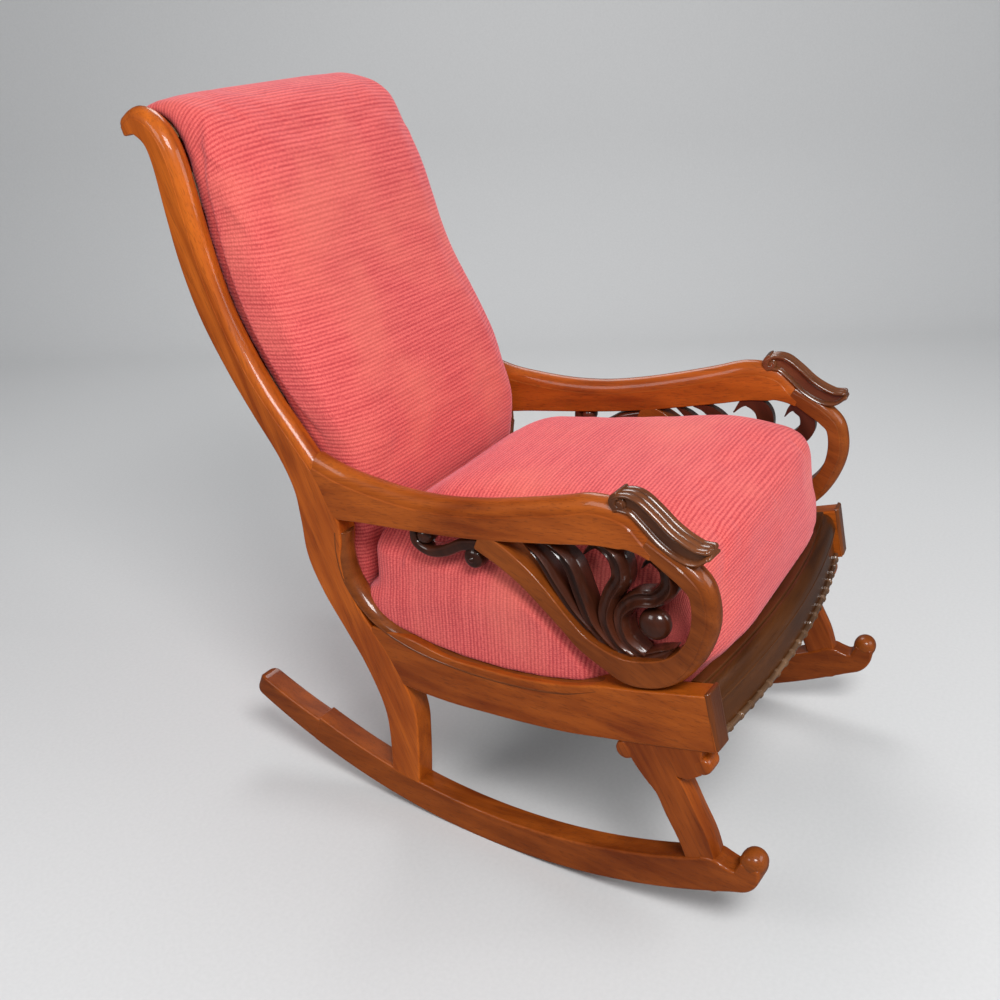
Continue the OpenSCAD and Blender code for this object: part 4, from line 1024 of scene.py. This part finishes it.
CLOTH_T, CLOTH_GAP, LINING_OUT, LINING_SAG = 0.0012, 0.4, 15.0, 5.0
line = upright(back_path[7:88, :2] + normals(back_path)[7:88] * LINING_OUT)
share = np.linspace(0, 1, len(line))[:, None]
wide = np.linspace(-1, 1, 25)[None, :]
sag = (LINING_SAG * ramp(share, 0.20, 0.42) * ramp(share, 0.84, 0.62)
       * np.cos(wide * pi / 2) ** 0.6)
y = line[:, :1] - sag * 0.8
z = line[:, 1:] + 0 * sag
x = (half_gap(y, z) - CLOTH_GAP) * wide
stretched("back_lining", chair(np.stack([x, y, z], -1)), np.array([0, CLOTH_T, 0]), CLOTH,
          "upholstery", "outside_back", weave=True)

BLACK_CLOTH = plain_weave("black lining", (0.025, 0.025, 0.027), 0.0016)
FROM_Y, TO_Y, UNDER_Z, UNDER_SAG = 20.0, 517.0, 4.7, 6.0
y = np.linspace(FROM_Y, TO_Y, 24)[:, None]
t = np.linspace(-1, 1, 24)[None, :]
y = y - (TO_Y - y) / (TO_Y - FROM_Y) * BOW_RISE * (1 - t ** 2)
dip = np.sin(pi * (y - FROM_Y) / (TO_Y - FROM_Y)).clip(0) * np.cos(t * pi / 2)
wy, wz = seat_world(y, UNDER_Z - UNDER_SAG * dip)
stretched("under_lining", chair(np.stack([(half_gap(wy, wz) - CLOTH_GAP) * t, wy, wz], -1)),
          np.array([0, 0, CLOTH_T]), BLACK_CLOTH, "bottom_cloth", "bottom_cloth")

# CAD nodes that stay: timber and springs inside the upholstery
PLAIN_WOOD = wood("plain timber", (0.26, 0.15, 0.075), (0.48, 0.32, 0.18), turn=90, coat=0.0)
HESSIAN = plain_weave("hessian", (0.42, 0.30, 0.17), 0.0028)
WEBBING = plain_weave("webbing", (0.50, 0.41, 0.28), 0.0022)
WIRE, wire, steel = blank("spring wire")
tarnish = wire.noise(wire.scaled(wire.add("TexCoord").outputs["Object"], (90, 90, 90)))
wire.join(wire.mix(tarnish, (0.20, 0.17, 0.14, 1), (0.48, 0.47, 0.46, 1)),
          steel.inputs["Base Color"])
wire.join(wire.range(tarnish, 0.3, 0.7, 0.3, 0.55), steel.inputs["Roughness"])
fixed(steel, Metallic=1.0)
FINISHES = {"frame_wood": PLAIN_WOOD, "hessian": HESSIAN, "webbing": WEBBING,
            "spring_steel": WIRE, "show_wood": FRONT_WOOD}
for row in frame["record"]["subparts"]:
    node = frame["nodes"][row["node"]]
    if row["material_slot"] in FINISHES:
        for place in node.material_slots:
            place.material = FINISHES[row["material_slot"]]

# Floor, light and camera
scene = bpy.context.scene
FLOOR, ground, base = blank("pale floor")
fleck = ground.noise(ground.scaled(ground.add("TexCoord").outputs["Object"], (160, 160, 160)))
pale = ground.mix(fleck, (0.60, 0.60, 0.60, 1), (0.66, 0.66, 0.66, 1))
# The floor is pale to the camera and dark grey in glossy reflections: a painted reflection.
mirrored = ground.add("LightPath").outputs["Is Glossy Ray"]
ground.join(ground.mix(mirrored, pale, (0.12, 0.12, 0.12, 1)), base.inputs["Base Color"])
fixed(base, Roughness=0.95, Specular_IOR_Level=0.1)

# Floor that curves up into a wall, square to the camera's direction, in metres
YAW = radians(60.71)
WALL_AT, BEND_R, WALL_TOP, HALF_WIDTH = 2.2, 0.6, 6.0, 7.0
a = np.radians(np.linspace(0, 90, 16))
profile = np.vstack([
    [(-WALL_TOP, 0.0)], np.stack([WALL_AT + BEND_R * np.sin(a), BEND_R * (1 - np.cos(a))], 1),
    [(WALL_AT + BEND_R, WALL_TOP)]])
spread = np.array([[-HALF_WIDTH, HALF_WIDTH]])
sweep = np.stack([
    profile[:, :1] * sin(YAW) + spread * cos(YAW),
    profile[:, :1] * cos(YAW) - spread * sin(YAW),
    profile[:, 1:] + 0 * spread - 0.0002], -1)
cove_mesh = bpy.data.meshes.new("floor_and_wall")
i = np.arange(len(profile) * 2).reshape(-1, 2)
cove_mesh.from_pydata(sweep.reshape(-1, 3).tolist(), [], np.stack(
    [i[:-1, 0], i[:-1, 1], i[1:, 1], i[1:, 0]], 1).tolist())
cove_mesh.shade_smooth()
cove_mesh.materials.append(FLOOR)
cove_obj = bpy.data.objects.new("floor_and_wall", cove_mesh)
scene.collection.objects.link(cove_obj)


def lamp(name, place, target, size, watts):
    """Soft rectangular lamp that points at a target."""
    light = bpy.data.lights.new(name, "AREA")
    light.shape, light.size, light.size_y, light.energy = "RECTANGLE", *size, watts
    obj = bpy.data.objects.new(name, light)
    obj.location = place
    obj.rotation_euler = (Vector(target) - Vector(place)).to_track_quat("-Z", "Y").to_euler()
    scene.collection.objects.link(obj)


lamp("key", (-1.7, -1.5, 2.7), (0, 0, 0.5), (1.2, 0.9), 81)
lamp("fill", (0.6, -2.6, 1.9), (0, 0, 0.4), (1.6, 1.2), 26)
lamp("rear", (1.6, 1.0, 2.4), (0, 0, 0.6), (1.2, 1.2), 24)
lamp("side", (-1.7, 0.8, 1.5), (-0.2, 0.2, 0.7), (0.8, 0.8), 9)
world = bpy.data.worlds.new("studio")
world.use_nodes = True
world.node_tree.nodes["Background"].inputs["Color"].default_value = (0.9, 0.95, 1.0, 1)
sky = Graph(world.node_tree)
sky.join(sky.fitted(sky.add("LightPath").outputs["Is Glossy Ray"], -0.18, 0.30),
         world.node_tree.nodes["Background"].inputs["Strength"])
scene.world = world
scene.view_settings.view_transform = "Standard"

# Camera at the photo's angle: it looks ahead, and is rolled round that direction
PITCH, ROLL, SENSOR = radians(26.33), radians(1.77), 36.0
CAMERA_AT = -1.429, -0.343 - MIDDLE_Y / 1000, 1.130
ahead = Vector((sin(YAW) * cos(PITCH), cos(YAW) * cos(PITCH), -sin(PITCH)))
level = Vector((cos(YAW), -sin(YAW), 0))
below = ahead.cross(level)
to_right = cos(ROLL) * level + sin(ROLL) * below
downward = -sin(ROLL) * level + cos(ROLL) * below
camera = bpy.data.objects.new("camera", bpy.data.cameras.new("camera"))
camera.data.sensor_width, camera.data.lens = SENSOR, SENSOR * 1.186
camera.data.shift_y = 0.054
camera.matrix_world = Matrix.Translation(CAMERA_AT) @ Matrix(
    (to_right, -downward, -ahead)).transposed().to_4x4()
scene.collection.objects.link(camera)
scene.camera = camera
